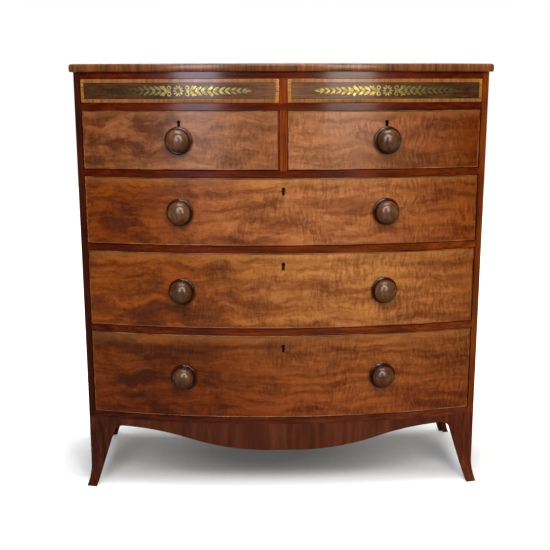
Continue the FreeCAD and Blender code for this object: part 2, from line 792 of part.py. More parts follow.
def drawer(bay):
    low_x = f"({bay.left} + front_gap)"
    high_x = f"({bay.right} - front_gap)"
    front_bottom = f"{bay.floor} + front_gap"
    front_top = f"({bay.floor} + {bay.opening} - front_gap)"
    side_top = f"({bay.floor} + {bay.opening} - box_top_gap)"
    bottom_top = f"({bay.floor} + bottom_lift + bottom_thickness)"
    back_top = f"({side_top} - back_drop)"
    box_end = "(back_inner - box_back_gap)"
    back_face = f"({box_end} - box_back)"

    # bottom, let into grooves in the front and the sides, and passing under the back
    bottom = new_body(f"{bay.name}_bottom")
    left, right = f"{low_x} + box_side - bottom_groove", f"{high_x} - box_side + bottom_groove"
    depth = "front_thickness - bottom_groove"
    corners = [
        (left, bow(left, depth), f"bow_radius - ({depth})", 1),
        (right, bow(right, depth)),
        (right, box_end),
        (left, box_end),
    ]
    plan = outline(bottom, FLOOR_PLAN, corners, f"{bay.floor} + bottom_lift")
    pad(bottom, plan, "bottom_thickness")

    # sides, with lapped dovetails at the front and through dovetails at the back
    sides = []
    for name, outer, inner, start in [
        ("left", low_x, f"{low_x} + box_side", low_x),
        ("right", high_x, f"{high_x} - box_side", f"{high_x} - box_side"),
    ]:
        near, far = sorted([outer, inner], key=lambda across: abs(value(across)))
        shoulder = bow(near, "front_thickness")
        tip = f"({bow(far)} + tail_lap)"
        front_tails = dovetails(front_bottom, side_top, bay.tails, shoulder, tip)
        back_tails = dovetails(bottom_top, back_top, bay.tails, back_face, box_end)
        corners = (
            [(shoulder, bay.floor), (box_end, bay.floor), (box_end, bottom_top), (back_face, bottom_top)]
            + back_tails
            + [(back_face, back_top), (box_end, back_top), (box_end, side_top), (shoulder, side_top)]
            + front_tails[::-1]
        )
        board = new_body(f"{bay.name}_side_{name}_board")
        pad(board, outline(board, SIDE_VIEW, corners, start), "box_side")
        sides.append(cut(f"{bay.name}_side_{name}", board, [bottom]))
    back_board = block(f"{bay.name}_back_board", low_x, high_x, back_face, box_end, bottom_top, back_top)
    back = cut(f"{bay.name}_back", back_board, sides)

    # knobs on the front, lock let into it from behind
    knobs = [
        seat(turned_knob(f"{bay.name}_knob_{number}"), across, f"{bay.floor} + {bay.opening} / 2")
        for number, across in enumerate(bay.knobs, 1)
    ]
    blank = bowed_board(f"{bay.name}_front_blank", low_x, high_x, front_bottom,
                        f"{bay.opening} - 2 * front_gap", "0", "front_thickness")
    board = cut(f"{bay.name}_front_joined", blank, sides + [bottom])
    if bay.lock is not None:
        keyhole_height = f"{bay.floor} + {bay.opening} - keyhole_drop"
        lock_bottom = f"{front_top} - lock_height"
        bolt_bottom = f"{front_top} - bolt_sink - bolt_height"
        case = seat(lock_case(f"{bay.name}_lock"), bay.lock, lock_bottom)
        bolt = seat(bolt_block(f"{bay.name}_bolt", "0", "bolt_height"), bay.lock, bolt_bottom)
        keep(f"{bay.name}_lock", [case])
        keep(f"{bay.name}_bolt", [bolt])
        recess = seat(lock_block(f"{bay.name}_lock_recess", "front_gap"), bay.lock, lock_bottom)
        hole = seat(keyhole_tool(f"{bay.name}_keyhole"), bay.lock, keyhole_height)
        board = cut(f"{bay.name}_front_recessed", board, [recess])
        board = cut(f"{bay.name}_front_keyed", board, [hole])
    keep(f"{bay.name}_front", [board] + knobs)
    keep(f"{bay.name}_box", sides + [back])
    keep(f"{bay.name}_bottom", [bottom])


for bay in all_bays:
    drawer(bay)

# ---------------------------------------------------------------------------------------------
# Check and write
# ---------------------------------------------------------------------------------------------
document.recompute()
for thing in document.Objects:
    if {"Invalid", "Error"} & set(thing.State):
        raise RuntimeError(f"{thing.Label} failed: {thing.State}")
for label, thing in nodes.items():
    if thing.Shape.isNull() or not thing.Shape.isValid():
        raise RuntimeError(f"{label} has no valid shape")

os.makedirs("parts", exist_ok=True)
for label, thing in nodes.items():
    thing.Shape.exportStep(f"parts/{label}.step")
print(f"{len(nodes)} sub-parts, {sum(len(thing.Shape.Solids) for thing in nodes.values())} solids")
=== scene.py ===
# %% [markdown]
# # A bow front chest of drawers, dressed
#
# The carcass of this chest comes from the workshop drawings as a fixed frame: sides, rails, drawer
# boxes, locks and feet, all at their true sizes. What the drawings leave plain is made here: the
# veneered drawer fronts with their beads, the turned knobs, the inlaid brass and the finishes.
# A new piece never has to be fitted by eye, because both share one origin, on the floor in the
# middle of the chest, with x to the right, y to the back and z up.

# %% Load the frame
import json
import math

import bmesh
import bpy
from mathutils import Euler, Matrix, Vector

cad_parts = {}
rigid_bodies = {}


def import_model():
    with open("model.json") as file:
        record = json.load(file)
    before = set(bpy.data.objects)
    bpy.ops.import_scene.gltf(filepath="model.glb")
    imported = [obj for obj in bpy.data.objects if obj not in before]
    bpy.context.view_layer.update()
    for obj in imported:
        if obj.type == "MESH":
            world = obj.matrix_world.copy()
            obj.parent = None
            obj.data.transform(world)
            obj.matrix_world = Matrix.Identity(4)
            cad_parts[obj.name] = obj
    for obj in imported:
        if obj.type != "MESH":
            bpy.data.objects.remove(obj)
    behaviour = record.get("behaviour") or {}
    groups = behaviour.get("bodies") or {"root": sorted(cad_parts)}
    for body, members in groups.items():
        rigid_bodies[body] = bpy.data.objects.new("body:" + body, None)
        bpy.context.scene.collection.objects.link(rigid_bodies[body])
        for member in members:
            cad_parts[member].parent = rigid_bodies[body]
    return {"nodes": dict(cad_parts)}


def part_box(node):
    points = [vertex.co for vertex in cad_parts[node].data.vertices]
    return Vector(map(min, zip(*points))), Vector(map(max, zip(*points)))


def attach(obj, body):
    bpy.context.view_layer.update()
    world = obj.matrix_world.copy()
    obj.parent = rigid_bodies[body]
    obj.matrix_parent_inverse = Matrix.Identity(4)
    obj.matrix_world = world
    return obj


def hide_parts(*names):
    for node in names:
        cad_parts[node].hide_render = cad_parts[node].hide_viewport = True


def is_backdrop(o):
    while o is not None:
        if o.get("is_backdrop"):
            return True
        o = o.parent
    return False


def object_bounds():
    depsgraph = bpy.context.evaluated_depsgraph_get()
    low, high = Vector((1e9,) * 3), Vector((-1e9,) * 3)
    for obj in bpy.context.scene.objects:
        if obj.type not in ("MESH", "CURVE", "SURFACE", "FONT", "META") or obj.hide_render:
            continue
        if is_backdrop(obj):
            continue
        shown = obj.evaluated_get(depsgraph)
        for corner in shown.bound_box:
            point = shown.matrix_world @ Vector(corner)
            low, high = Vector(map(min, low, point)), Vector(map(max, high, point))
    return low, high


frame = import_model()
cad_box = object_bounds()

MM = 0.001
nodes = frame["nodes"]
chest_size = [round((high - low) / MM) for low, high in zip(*cad_box)]
print("chest", chest_size, "mm,", len(nodes), "CAD pieces")

# %% [markdown]
# ## The bow
#
# Everything at the front follows one circle, seen from above. Its centre lies far behind the
# chest, and its radius is 1846 mm, so that the front swells 69 mm between its corners. Three small
# functions are enough to work with it: how far forward the front stands at some x, how far a point
# lies from the circle's axis, and how far the front has turned to the side at some x.

# %% The bow's circle
BOW_RADIUS = 1846.09 * MM
HALF_CASE = 500 * MM
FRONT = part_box("top_rail")[0].y
BOW_CENTRE = Vector((0, FRONT + BOW_RADIUS, 0))


def bow(x):
    """Where the bowed front stands at x."""
    return BOW_CENTRE.y - math.sqrt(BOW_RADIUS**2 - x**2)


def reach(point):
    """How far a point lies from the bow's axis."""
    return math.hypot(point[0], point[1] - BOW_CENTRE.y)


def facing(x):
    """How far the front has turned to the side at x."""
    return math.asin(x / BOW_RADIUS)


print("front of the bow", round(bow(0) / MM, 1), "corner", round(bow(HALF_CASE) / MM, 1))

# %% [markdown]
# ## Small tools
#
# Blender's operators act on whatever is selected, and the frame arrives selected. So each piece is
# first made the only one selected, and inside edit mode its faces are chosen in code, by where
# they are and which way they look.

# %% Tools for modelling
SHARP = 1.0  # radians


def only(piece):
    """Make this piece the one that operators act on."""
    bpy.ops.object.select_all(action="DESELECT")
    piece.select_set(True)
    bpy.context.view_layer.objects.active = piece


def settle(name, size=(1, 1, 1)):
    """Name the primitive just added, and move its place, turn and size into its mesh."""
    piece = bpy.context.object
    piece.name = piece.data.name = name
    piece.scale = size
    only(piece)
    bpy.ops.object.transform_apply(location=True, rotation=True, scale=True)
    return piece


def edit(piece, kind="FACE"):
    """Open a piece in edit mode with all of it selected."""
    only(piece)
    bpy.ops.object.mode_set(mode="EDIT")
    bpy.ops.mesh.select_mode(type=kind)
    bpy.ops.mesh.select_all(action="SELECT")


def choose(piece, kind, test):
    """In edit mode, select only what passes the test: faces, edges or verts."""
    bpy.ops.mesh.select_mode(type={"faces": "FACE", "edges": "EDGE", "verts": "VERT"}[kind])
    bpy.ops.mesh.select_all(action="DESELECT")
    shape = bmesh.from_edit_mesh(piece.data)
    for item in getattr(shape, kind):
        if test(item):
            item.select_set(True)
    shape.select_flush_mode()
    bmesh.update_edit_mesh(piece.data)


def sharp(test):
    """A test for edges that turn sharply and have both their ends pass another test."""
    return lambda edge: edge.calc_face_angle(0) > SHARP and all(test(end.co) for end in edge.verts)


def assign(piece, slot):
    """In edit mode, give the selected faces the finish in this slot."""
    piece.active_material_index = slot
    bpy.ops.object.material_slot_assign()


def face_out():
    """In edit mode, turn every face outwards."""
    bpy.ops.mesh.select_all(action="SELECT")
    bpy.ops.mesh.normals_make_consistent(inside=False)


def done():
    """Leave edit mode."""
    bpy.ops.object.mode_set(mode="OBJECT")


def close(piece, smooth=30):
    """Leave edit mode and shade the piece smooth, except over edges sharper than this."""
    done()
    only(piece)
    bpy.ops.object.shade_smooth_by_angle(angle=math.radians(smooth))


def modify(piece, kind, **settings):
    """Add a modifier and apply it at once."""
    only(piece)
    modifier = piece.modifiers.new(kind, kind)
    for name, value in settings.items():
        setattr(modifier, name, value)
    bpy.ops.object.modifier_apply(modifier=modifier.name)


def twin(piece, name, move=None):
    """A copy with its own mesh, moved by a matrix where one is given."""
    copy = bpy.data.objects.new(name, piece.data.copy())
    copy.data.name = name
    if move is not None:
        copy.data.transform(move)
    bpy.context.collection.objects.link(copy)
    return copy


def join(parts, name):
    """Join pieces into one."""
    only(parts[0])
    for part in parts:
        part.select_set(True)
    bpy.ops.object.join()
    parts[0].name = parts[0].data.name = name
    return parts[0]


# %% [markdown]
# ## Colours and shader nodes
#
# Colours are written as the hex values that a paint chart would give. Blender works in linear
# light, so one function turns them. A second one adds a shader node with its settings and what
# goes into it, and the others are built on it, one for each thing that every material needs:
# to stretch or bend the coordinates, draw a noise, turn it into tones, and mix two of them.

# %% Tools for materials
def colour(code):
    """An sRGB hex colour as Blender's linear red, green, blue and alpha."""
    parts = [int(code[i : i + 2], 16) / 255 for i in (1, 3, 5)]
    return [p / 12.92 if p <= 0.04045 else ((p + 0.055) / 1.055) ** 2.4 for p in parts] + [1]


def add(tree, kind, inputs=(), stops=(), **settings):
    """Add a node with its settings. An input takes a value or another node's output, and a ramp has
    colour stops."""
    node = tree.nodes.new("ShaderNode" + kind)
    for name, value in settings.items():
        setattr(node, name, value)
    for name, value in dict(inputs).items():
        if isinstance(value, bpy.types.NodeSocket):
            tree.links.new(value, node.inputs[name])
        else:
            node.inputs[name].default_value = value
    for number, (place, tone) in enumerate(stops):
        points = node.color_ramp.elements
        point = points[number] if number < 2 else points.new(place)
        point.position, point.color = place, colour(tone)
    return node


def maths(tree, operation, *values):
    """Arithmetic on numbers and outputs."""
    return add(tree, "Math", enumerate(values), operation=operation).outputs[0]


def scaled(tree, value, low, high, to_low=0.0, to_high=1.0, **settings):
    """Carry a value from one range to another, and hold it at the ends."""
    ends = {"From Min": low, "From Max": high, "To Min": to_low, "To Max": to_high}
    return add(tree, "MapRange", {"Value": value, **ends}, **settings).outputs[0]


def axis(tree, place, name):
    """One of a place's three coordinates."""
    return add(tree, "SeparateXYZ", {"Vector": place}).outputs[name]


def stretched(tree, place, scale, shift=(0, 0, 0), turn=(0, 0, 0)):
    """Coordinates that give a pattern this many spots a metre along each axis."""
    inputs = {"Vector": place, "Location": shift, "Rotation": turn, "Scale": scale}
    return add(tree, "Mapping", inputs).outputs[0]


def bent(tree, place, scale, detail, size):
    """Coordinates that wander by up to about half this many metres."""
    drift = add(tree, "TexNoise", {"Vector": place, "Scale": scale, "Detail": detail}).outputs["Color"]
    bend = add(tree, "VectorMath", {0: drift, 1: (0.5, 0.5, 0.5)}, operation="SUBTRACT").outputs[0]
    bend = add(tree, "VectorMath", {0: bend, "Scale": size}, operation="SCALE").outputs[0]
    return add(tree, "VectorMath", {0: place, 1: bend}, operation="ADD").outputs[0]


def noise(tree, place, scale, detail, roughness=0.5):
    """A noise pattern, from 0 to 1."""
    inputs = {"Vector": place, "Scale": scale, "Detail": detail, "Roughness": roughness}
    return add(tree, "TexNoise", inputs).outputs["Fac"]


def ramp(tree, value, places, tones):
    """A value turned into these tones at these places."""
    return add(tree, "ValToRGB", {"Fac": value}, zip(places, tones)).outputs[0]


def mix(tree, share, first, second, blend_type="MIX"):
    """A first colour, with a share of a second one laid over it."""
    inputs = {0: share, 6: first, 7: second}
    return add(tree, "Mix", inputs, data_type="RGBA", blend_type=blend_type).outputs[2]


def finish(name, **shader):
    """A new material with its shader's own settings: its node tree, its surface and its coordinates."""
    material = bpy.data.materials.new(name)
    material.use_nodes = True
    tree = material.node_tree
    tree.nodes.clear()
    surface = add(tree, "BsdfPrincipled", shader)
    add(tree, "OutputMaterial", {"Surface": surface.outputs[0]})
    return material, tree, surface, add(tree, "TexCoord").outputs["Object"]


def dress(tree, surface, tone, gloss, height, strength, depth=0.2 * MM):
    """Give a surface its colour, its roughness and a fine relief."""
    relief = add(tree, "Bump", {"Height": height, "Strength": strength, "Distance": depth}).outputs[0]
    for name, output in {"Base Color": tone, "Roughness": gloss, "Normal": relief}.items():
        tree.links.new(output, surface.inputs[name])


# %% [markdown]
# ## Camera
#
# The chest is seen from a little left of its middle, from just under the height of its top and
# looking slightly down, with a lens long enough to keep its uprights nearly parallel.

# %% Camera
LENS, SENSOR = 57.83, 36
CAMERA_PLACE = (-0.072, -2.3024, 1.023)
YAW, PITCH, ROLL = math.radians(-1.407), math.radians(12.05), math.radians(0.10)
camera = bpy.data.objects.new("camera", bpy.data.cameras.new("camera"))
bpy.context.collection.objects.link(camera)
camera.data.lens = LENS
camera.data.sensor_width = SENSOR
camera.matrix_world = (
    Matrix.Translation(CAMERA_PLACE)
    @ Matrix.Rotation(YAW, 4, "Z")
    @ Matrix.Rotation(math.pi / 2 - PITCH, 4, "X")
    @ Matrix.Rotation(-ROLL, 4, "Z")
)
bpy.context.scene.camera = camera
bpy.context.scene.view_settings.view_transform = "Standard"
print("camera", [round(c, 3) for c in camera.location])

# %% [markdown]
# ## Floor and world
#
# The chest stands on a sheet of white paper that runs under it and up behind it, in a studio that
# is dark where the camera stands. The camera sees white all round. So does anything that shines
# and faces the paper, but polish that faces the front sees the dark studio, and that is what
# keeps the wood deep in colour. Outside an oval round the chest, and a little way ahead of it, the
# floor fades into pure white. Inside the oval the paper is lit like any other surface and keeps the
# soft shadow, and a painted shadow, greyer the nearer it is to the chest's middle, deepens it.

# %% Floor
FLOOR_SIZE = 14
bpy.ops.object.select_all(action="DESELECT")
bpy.ops.mesh.primitive_plane_add(size=FLOOR_SIZE)
floor = settle("studio_floor")
floor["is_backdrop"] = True


def seen_white(tree, behind):
    """1 where the eye or a look through glass should find white, and a reflection's share of it."""
    path = add(tree, "LightPath").outputs
    shine = maths(tree, "MULTIPLY", path["Is Glossy Ray"], behind)
    seen = maths(tree, "MAXIMUM", path["Is Camera Ray"], shine)
    return maths(tree, "MAXIMUM", seen, path["Is Transmission Ray"])


paper, tree, surface, place = finish("white_paper_floor", **{"Roughness": 1.0, "Specular IOR Level": 0.0})
surface.inputs["Emission Color"].default_value = colour("#ffffff")
backward = axis(tree, place, "Y")
white = seen_white(tree, scaled(tree, backward, 0.1, 0.35))
sheet = ramp(tree, noise(tree, place, 60.0, 2.0), (0.3, 0.7), ("#e6e9e9", "#eaeded"))
oval = stretched(tree, place, (0.88, 1.75, 1), (0.04, -0.1, 0))
away = add(tree, "VectorMath", {0: oval}, operation="LENGTH").outputs["Value"]
# painted shadow: the paper's tone is darkened towards the chest's middle, down to 0.42 of it, to deepen the
# shadow under the chest
sheet = mix(tree, 1.0, sheet, scaled(tree, away, 0.1, 0.45, 0.42), "MULTIPLY")
tone = mix(tree, white, colour("#5a5a5a"), sheet)
fade = scaled(tree, away, 0.4, 0.86, interpolation_type="SMOOTHSTEP")
ahead = scaled(tree, backward, -0.03, -0.26, interpolation_type="SMOOTHSTEP")
lift = maths(tree, "MULTIPLY", white, maths(tree, "MAXIMUM", fade, ahead))
tree.links.new(tone, surface.inputs["Base Color"])
tree.links.new(lift, surface.inputs["Emission Strength"])
floor.data.materials.append(paper)

# %% World
DARK_STUDIO, DIFFUSE_LIGHT = 0.015, 0.22
world = bpy.data.worlds.new("studio")
bpy.context.scene.world = world
world.use_nodes = True
sky = world.node_tree
sky.nodes.clear()
backward = axis(sky, add(sky, "TexCoord").outputs["Generated"], "Y")
white = seen_white(sky, scaled(sky, backward, 0.25, 0.65))
diffuse = add(sky, "LightPath").outputs["Is Diffuse Ray"]
level = maths(sky, "MAXIMUM", scaled(sky, diffuse, 0.0, 1.0, DARK_STUDIO, DIFFUSE_LIGHT), white)
glow = add(sky, "Background", {"Color": colour("#ffffff"), "Strength": level})
add(sky, "OutputWorld", {"Surface": glow.outputs[0]})
print("floor and world in place")

# %% [markdown]
# ## Lamps
#
# Two tall soft boxes stand either side of the camera, the left one a little cooler. The bow turns
# each of them into a soft upright band of sheen, left and right of the middle, and every knob
# shows both. A weaker skirt under each box lets its sheen die away down the drawers. A box above
# the camera models the front, a wide one overhead whitens the paper and leaves the shadow, and one
# behind lights the back. Each has a place, an aim, a size, a power in watts and a tint.

# %% Lamps
LAMPS = {
    "left_box": ((-1.05, -3.1, 2.05), (-0.3, -0.1, 1.5), (0.6, 2.1), 46, "#eeecff"),
    "right_box": ((1.0, -3.1, 2.05), (0.3, -0.1, 1.5), (0.64, 2.1), 46, "#fff2e4"),
    "left_skirt": ((-1.05, -3.1, 0.83), (-0.3, -0.1, 0.83), (0.6, 0.34), 2.6, "#eeecff"),
    "right_skirt": ((1.0, -3.1, 0.83), (0.3, -0.1, 0.83), (0.64, 0.34), 2.8, "#fff2e4"),
    "front_box": ((0.1, -2.2, 2.5), (0, -0.15, 0.75), (0.9, 0.6), 26, "#fffaf4"),
    "overhead_box": ((0.0, 0.1, 5.0), (0, 0.1, 0), (3.0, 3.0), 190, "#ffffff"),
    "back_box": ((0.0, 4.2, 2.4), (0, 0.2, 0.7), (2.6, 1.8), 75, "#fffaf2"),
}
for name, (place, aim, size, power, tint) in LAMPS.items():
    lamp = bpy.data.objects.new(name, bpy.data.lights.new(name, "AREA"))
    lamp.data.shape = "RECTANGLE"
    lamp.data.size, lamp.data.size_y = size
    lamp.data.energy = power
    lamp.data.color = colour(tint)[:3]
    towards = (Vector(aim) - Vector(place)).to_track_quat("-Z", "Y")
    lamp.matrix_world = Matrix.Translation(place) @ towards.to_matrix().to_4x4()
    bpy.context.collection.objects.link(lamp)
print(len(LAMPS), "lamps")

# %% [markdown]
# ## Straight-grained mahogany
#
# Rails, stiles and sides are French-polished Cuban mahogany: a red-brown wood with fine dark
# streaks along the grain and tiny open pores. The streaks are a noise pattern drawn out along
# one axis, and the stretch says how many of them a metre has along each. Most rails pale to the
# right, where the sun reached them. The left side has paled everywhere but along its front edge,
# which keeps its dark tone. A thin clear coat stands for the shellac.

# %% Straight-grained wood
GRAIN = (0.3, 0.5, 0.72)
POORLY_COATED = 0.3


def polished_wood(
    name, tones, stretch, blotch=0.35, rough=0.42, coat=0.6, shine=0.13, seed=0.0, pores=0.5, faded_and_sheen_tones=None,
    fade=(-0.35, 0.45), both_ways=False, along="X", relief=0.25,
):
    """A polished wood: tones from dark to light, how many streaks a metre along each axis, and the paler
    tones that it turns to, from one place to another along an axis, or so far both ways from the middle:
    faded wood on most pieces, a painted sheen on the rosewood."""
    bare_shine = 0.05 if coat > POORLY_COATED else 0.3
    material, tree, surface, place = finish(
        name, **{"Coat Weight": coat, "Coat Roughness": shine, "Specular IOR Level": bare_shine}
    )
    wandering = bent(tree, place, 3.0, 2.0, 0.03)
    laid = stretched(tree, wandering, stretch, (seed, seed * 1.7, seed * 2.3))
    grain = noise(tree, laid, 1.0, 6.0, 0.6)
    body = ramp(tree, grain, GRAIN, tones)
    if faded_and_sheen_tones:
        across = axis(tree, place, along)
        if both_ways:
            across = maths(tree, "ABSOLUTE", across)
        # paler tones: real fading on most woods, a painted sheen on the rosewood
        body = mix(tree, scaled(tree, across, *fade), body, ramp(tree, grain, GRAIN, faded_and_sheen_tones))
    cloud = noise(tree, wandering, 7.0, 3.0)
    shade = scaled(tree, cloud, 0.4, 0.62, 1.0, 1.0 - blotch)
    pore = noise(tree, stretched(tree, place, [s * 5 for s in stretch]), 1.0, 2.0)
    open_pore = scaled(tree, pore, 0.56, 0.66, 1.0, 1.0 - pores)
    tone = mix(tree, 1.0, body, maths(tree, "MULTIPLY", shade, open_pore), "MULTIPLY")
    gloss = scaled(tree, cloud, 0.0, 1.0, rough - 0.1, rough + 0.1)
    dress(tree, surface, tone, gloss, pore, relief)
    return material


RED = ["#3a1002", "#581a03", "#722a06"]
ORANGE = ["#5a2003", "#803406", "#a0480c"]
ACROSS = (5, 130, 130)
UPWARDS = (90, 90, 4)
rail_mahogany = polished_wood("polished_mahogany_rails", RED, ACROSS, rough=0.3, faded_and_sheen_tones=ORANGE)
upper_rail_mahogany = polished_wood(
    "polished_mahogany_upper_rail", RED, ACROSS, rough=0.3, seed=4.0, faded_and_sheen_tones=ORANGE, fade=(-0.35, 1.5)
)
top_rail_mahogany = polished_wood("polished_mahogany_top_rails", RED, ACROSS, rough=0.3, seed=11.0)
base_rail_mahogany = polished_wood(
    "polished_mahogany_base_rail", ["#340f06", "#4c190b", "#622611"], ACROSS, rough=0.3, seed=2.0,
    faded_and_sheen_tones=["#501f0c", "#6e3012", "#884018"],
)
upright_mahogany = polished_wood("polished_mahogany_uprights", ORANGE, (130, 130, 5), seed=3.1, rough=0.34)
left_mahogany = polished_wood(
    "polished_mahogany_left_side", ["#2a0b02", "#401303", "#541d06"], UPWARDS, coat=0.32, shine=0.3, seed=1.3,
    faded_and_sheen_tones=["#562208", "#72360e", "#8a4a18"], fade=(-0.126, -0.1), along="Y",
)
right_mahogany = polished_wood(
    "polished_mahogany_right_side", ["#5e2403", "#7e3605", "#984a0c"], UPWARDS, coat=0.32, shine=0.3, seed=7.7
)
foot_mahogany = polished_wood(
    "polished_mahogany_feet", ["#34130a", "#502412", "#66321c"], (110, 110, 9), coat=0.4, seed=5.2,
    faded_and_sheen_tones=["#46190b", "#642c16", "#783c20"],
)
print("straight-grained mahogany:", 8, "cuts")

# %% [markdown]
# ## Lining woods
#
# Inside, an old chest is plain: the drawer sides and bottoms are oak, pale brown with fine dark
# pores, and the dustboards, guides and blocks are pine, yellowed with age. Neither is polished, so
# they have no coat and a rough, dry surface. The back's own pine comes with the crossbanding.

# %% Oak and pine
OAK = ["#7c5a3c", "#a07a54", "#bb966c"]
lining_oak = polished_wood(
    "dry_oak_linings", OAK, (6, 6, 160), blotch=0.2, rough=0.7, coat=0.0, pores=0.4
)
bottom_oak = polished_wood("dry_oak_bottoms", OAK, (6, 140, 140), blotch=0.2, rough=0.7, coat=0.0, seed=2.0)
dry_pine = polished_wood(
    "aged_pine_boards", ["#7a5a34", "#9c7a4a", "#b8945e"], (4, 60, 60), blotch=0.25, rough=0.75, coat=0.0,
    pores=0.25,
)
print("lining woods:", 3)

# %% [markdown]
# ## Figured veneer
#
# The long drawer fronts are faced with figured mahogany, cut thin from one log. Light makes it
# look deep: dark flame streaks run slightly downhill, plum-coloured clouds lie in the left half,
# a mottle lies over all of it, and a fine upright ripple, called fiddleback, crosses the golden
# right half. Short dark flecks are the open pores. Each of these is one noise pattern, drawn out
# in its own direction and mixed in. The polish over it is old and soft, so it spreads the sheen.
# Round one x on each front the tones are painted paler, a painted sheen where the lamps shine in
# the bow. The top lies flat, so its coordinates are first turned upright, and the same patterns serve.

# %% Figured veneer
STREAK = (0.38, 0.6)


def pattern(tree, place, scale, turn=0.0, shift=0.0, detail=4.0):
    """A noise drawn out by this many spots a metre along each axis, turned in the drawer's plane."""
    laid = stretched(tree, place, scale, (shift, 0, shift * 1.7), (0, math.radians(turn), 0))
    return noise(tree, laid, 1.0, detail, 0.62)


def figured_veneer(
    name, gold, brown, plum, pale, seed, floor_z, top_z, sheen_x=0.0, red=0.0, cloudy=0.8, tilt=8, flat=False
):
    """Figured mahogany for one drawer front that stands between two heights, with a painted sheen: its
    tones turn to a paler pair round one x, where the lamps' sheen lies."""
    material, tree, surface, place = finish(
        name, **{"Coat Weight": 0.6, "Coat Roughness": 0.2, "Specular IOR Level": 0.05}
    )
    if flat:
        place = stretched(tree, place, (1, 1, 1), turn=(math.pi / 2, 0, 0))
    across = axis(tree, place, "X")
    rightward = scaled(tree, across, -0.35, 0.2)
    upward = scaled(tree, axis(tree, place, "Z"), floor_z, top_z)
    wandering = bent(tree, place, 9.0, 4.0, 0.06)

    # flame: streaks about 20 mm apart and 150 mm long, running downhill to the right
    flame = pattern(tree, wandering, (6, 1, 48), tilt, seed, 8.0)
    figure = ramp(tree, flame, STREAK, (brown, gold))
    # painted sheen: round one x the flame's tones turn to a paler pair, which stands in for the lamps' sheen
    faded_and_sheen_tones = ramp(tree, flame, STREAK, (pale[1], pale[0]))
    aside = maths(tree, "ABSOLUTE", maths(tree, "SUBTRACT", across, sheen_x))
    figure = mix(tree, scaled(tree, aside, 0.05, 0.42, 1.0, 0.0), figure, faded_and_sheen_tones)

    # clouds: plum patches about 90 mm long, in the left half, broken up by the flame
    cloud = pattern(tree, wandering, (8, 1, 15), tilt, seed * 2, 6.0)
    patch = scaled(tree, cloud, 0.49, 0.6, 0.0, cloudy)
    patch = maths(tree, "MULTIPLY", patch, scaled(tree, rightward, 0.0, 1.0, 1.0, 0.2))
    tone = mix(tree, patch, figure, colour(plum))

    # mottle: spots about 12 mm wide; fiddleback: upright ripples 5 mm apart and 30 mm high, stronger to
    # the right; pores: flecks 10 mm long, 2 mm high so that they show
    mottle = pattern(tree, wandering, (45, 1, 95), 0, seed * 3)
    ripple = pattern(tree, wandering, (170, 1, 40), -6, seed)
    fleck = pattern(tree, wandering, (90, 1, 400), tilt, seed, 2.0)
    grouped = scaled(tree, cloud, 0.42, 0.56, 0.25, 1.0)
    rippled = maths(tree, "MULTIPLY", grouped, scaled(tree, rightward, 0.0, 1.0, 0.4, 1.0))
    leftward = scaled(tree, rightward, 0.0, 1.0, 1.0, 0.45)
    for spots, low, high, dark, light, share in (
        (mottle, 0.38, 0.62, (0.86, 0.78, 0.7), (1.1, 1.13, 1.2), leftward),
        (ripple, 0.42, 0.58, (0.74, 0.62, 0.5), (1.18, 1.24, 1.4), rippled),
        (fleck, 0.58, 0.66, (1.0, 1.0, 1.0), (0.62, 0.5, 0.4), leftward),
    ):
        # on vectors, these are the node's value, its range and the range it is carried to
        ends = {6: spots, 7: (low,) * 3, 8: (high,) * 3, 9: dark, 10: light}
        swing = add(tree, "MapRange", ends, data_type="FLOAT_VECTOR").outputs[1]
        tone = mix(tree, share, tone, swing, "MULTIPLY")

    # redder and darker towards the floor, and paler along the top
    tone = mix(tree, scaled(tree, upward, 0.0, 1.0, red, 0.0), tone, colour("#e08a62"), "MULTIPLY")
    tone = mix(tree, scaled(tree, upward, 0.86, 1.0, 0.0, 0.35), tone, colour("#b0763a"))
    dress(tree, surface, tone, scaled(tree, cloud, 0.0, 1.0, 0.4, 0.6), fleck, 0.2)
    return material


# %% [markdown]
# ## Crossbanding
#
# The top's edge and the apron are veneered across the grain: short lengths of mahogany, laid
# side by side with their grain upright. Each length is a little lighter or darker than its
# neighbour, which a random number for each length gives, and a thin joint line parts them. The
# pine boards of the back are the same pattern at 164 mm, all of one width.

# %% Crossbanded mahogany
def crossbanded(name, tones, width, spread, seed, line=0.75, lines=170, coat=0.6, dull=0.0, uneven=1.6):
    """Upright-grained lengths of veneer, this many metres wide, with tones that differ by spread."""
    material, tree, surface, place = finish(
        name, **{"Coat Weight": coat, "Coat Roughness": 0.16, "Specular IOR Level": 0.05 if coat else 0.3}
    )
    across = axis(tree, place, "X")
    wander = add(tree, "TexNoise", {"W": across, "Scale": 9.0, "Detail": 0.0}, noise_dimensions="1D")
    shift = maths(tree, "MULTIPLY", wander.outputs["Fac"], uneven)
    count = maths(tree, "MULTIPLY_ADD", across, 1 / width, shift)
    length = maths(tree, "FLOOR", count)
    chance = add(tree, "TexWhiteNoise", {"W": length}, noise_dimensions="1D").outputs["Value"]
    tint = scaled(tree, chance, 0.0, 1.0, 1 - spread, 1 + spread)
    joint = scaled(tree, maths(tree, "FRACT", count), 0.0, 0.03, line, 1.0)
    grain = noise(tree, stretched(tree, place, (lines, 60, 7), (seed, seed, seed)), 1.0, 5.0, 0.6)
    body = ramp(tree, grain, (0.32, 0.5, 0.7), tones)
    tone = mix(tree, 1.0, body, maths(tree, "MULTIPLY", tint, joint), "MULTIPLY")
    dress(tree, surface, tone, scaled(tree, grain, 0.0, 1.0, 0.3 + dull, 0.5 + dull), grain, 0.2)
    return material


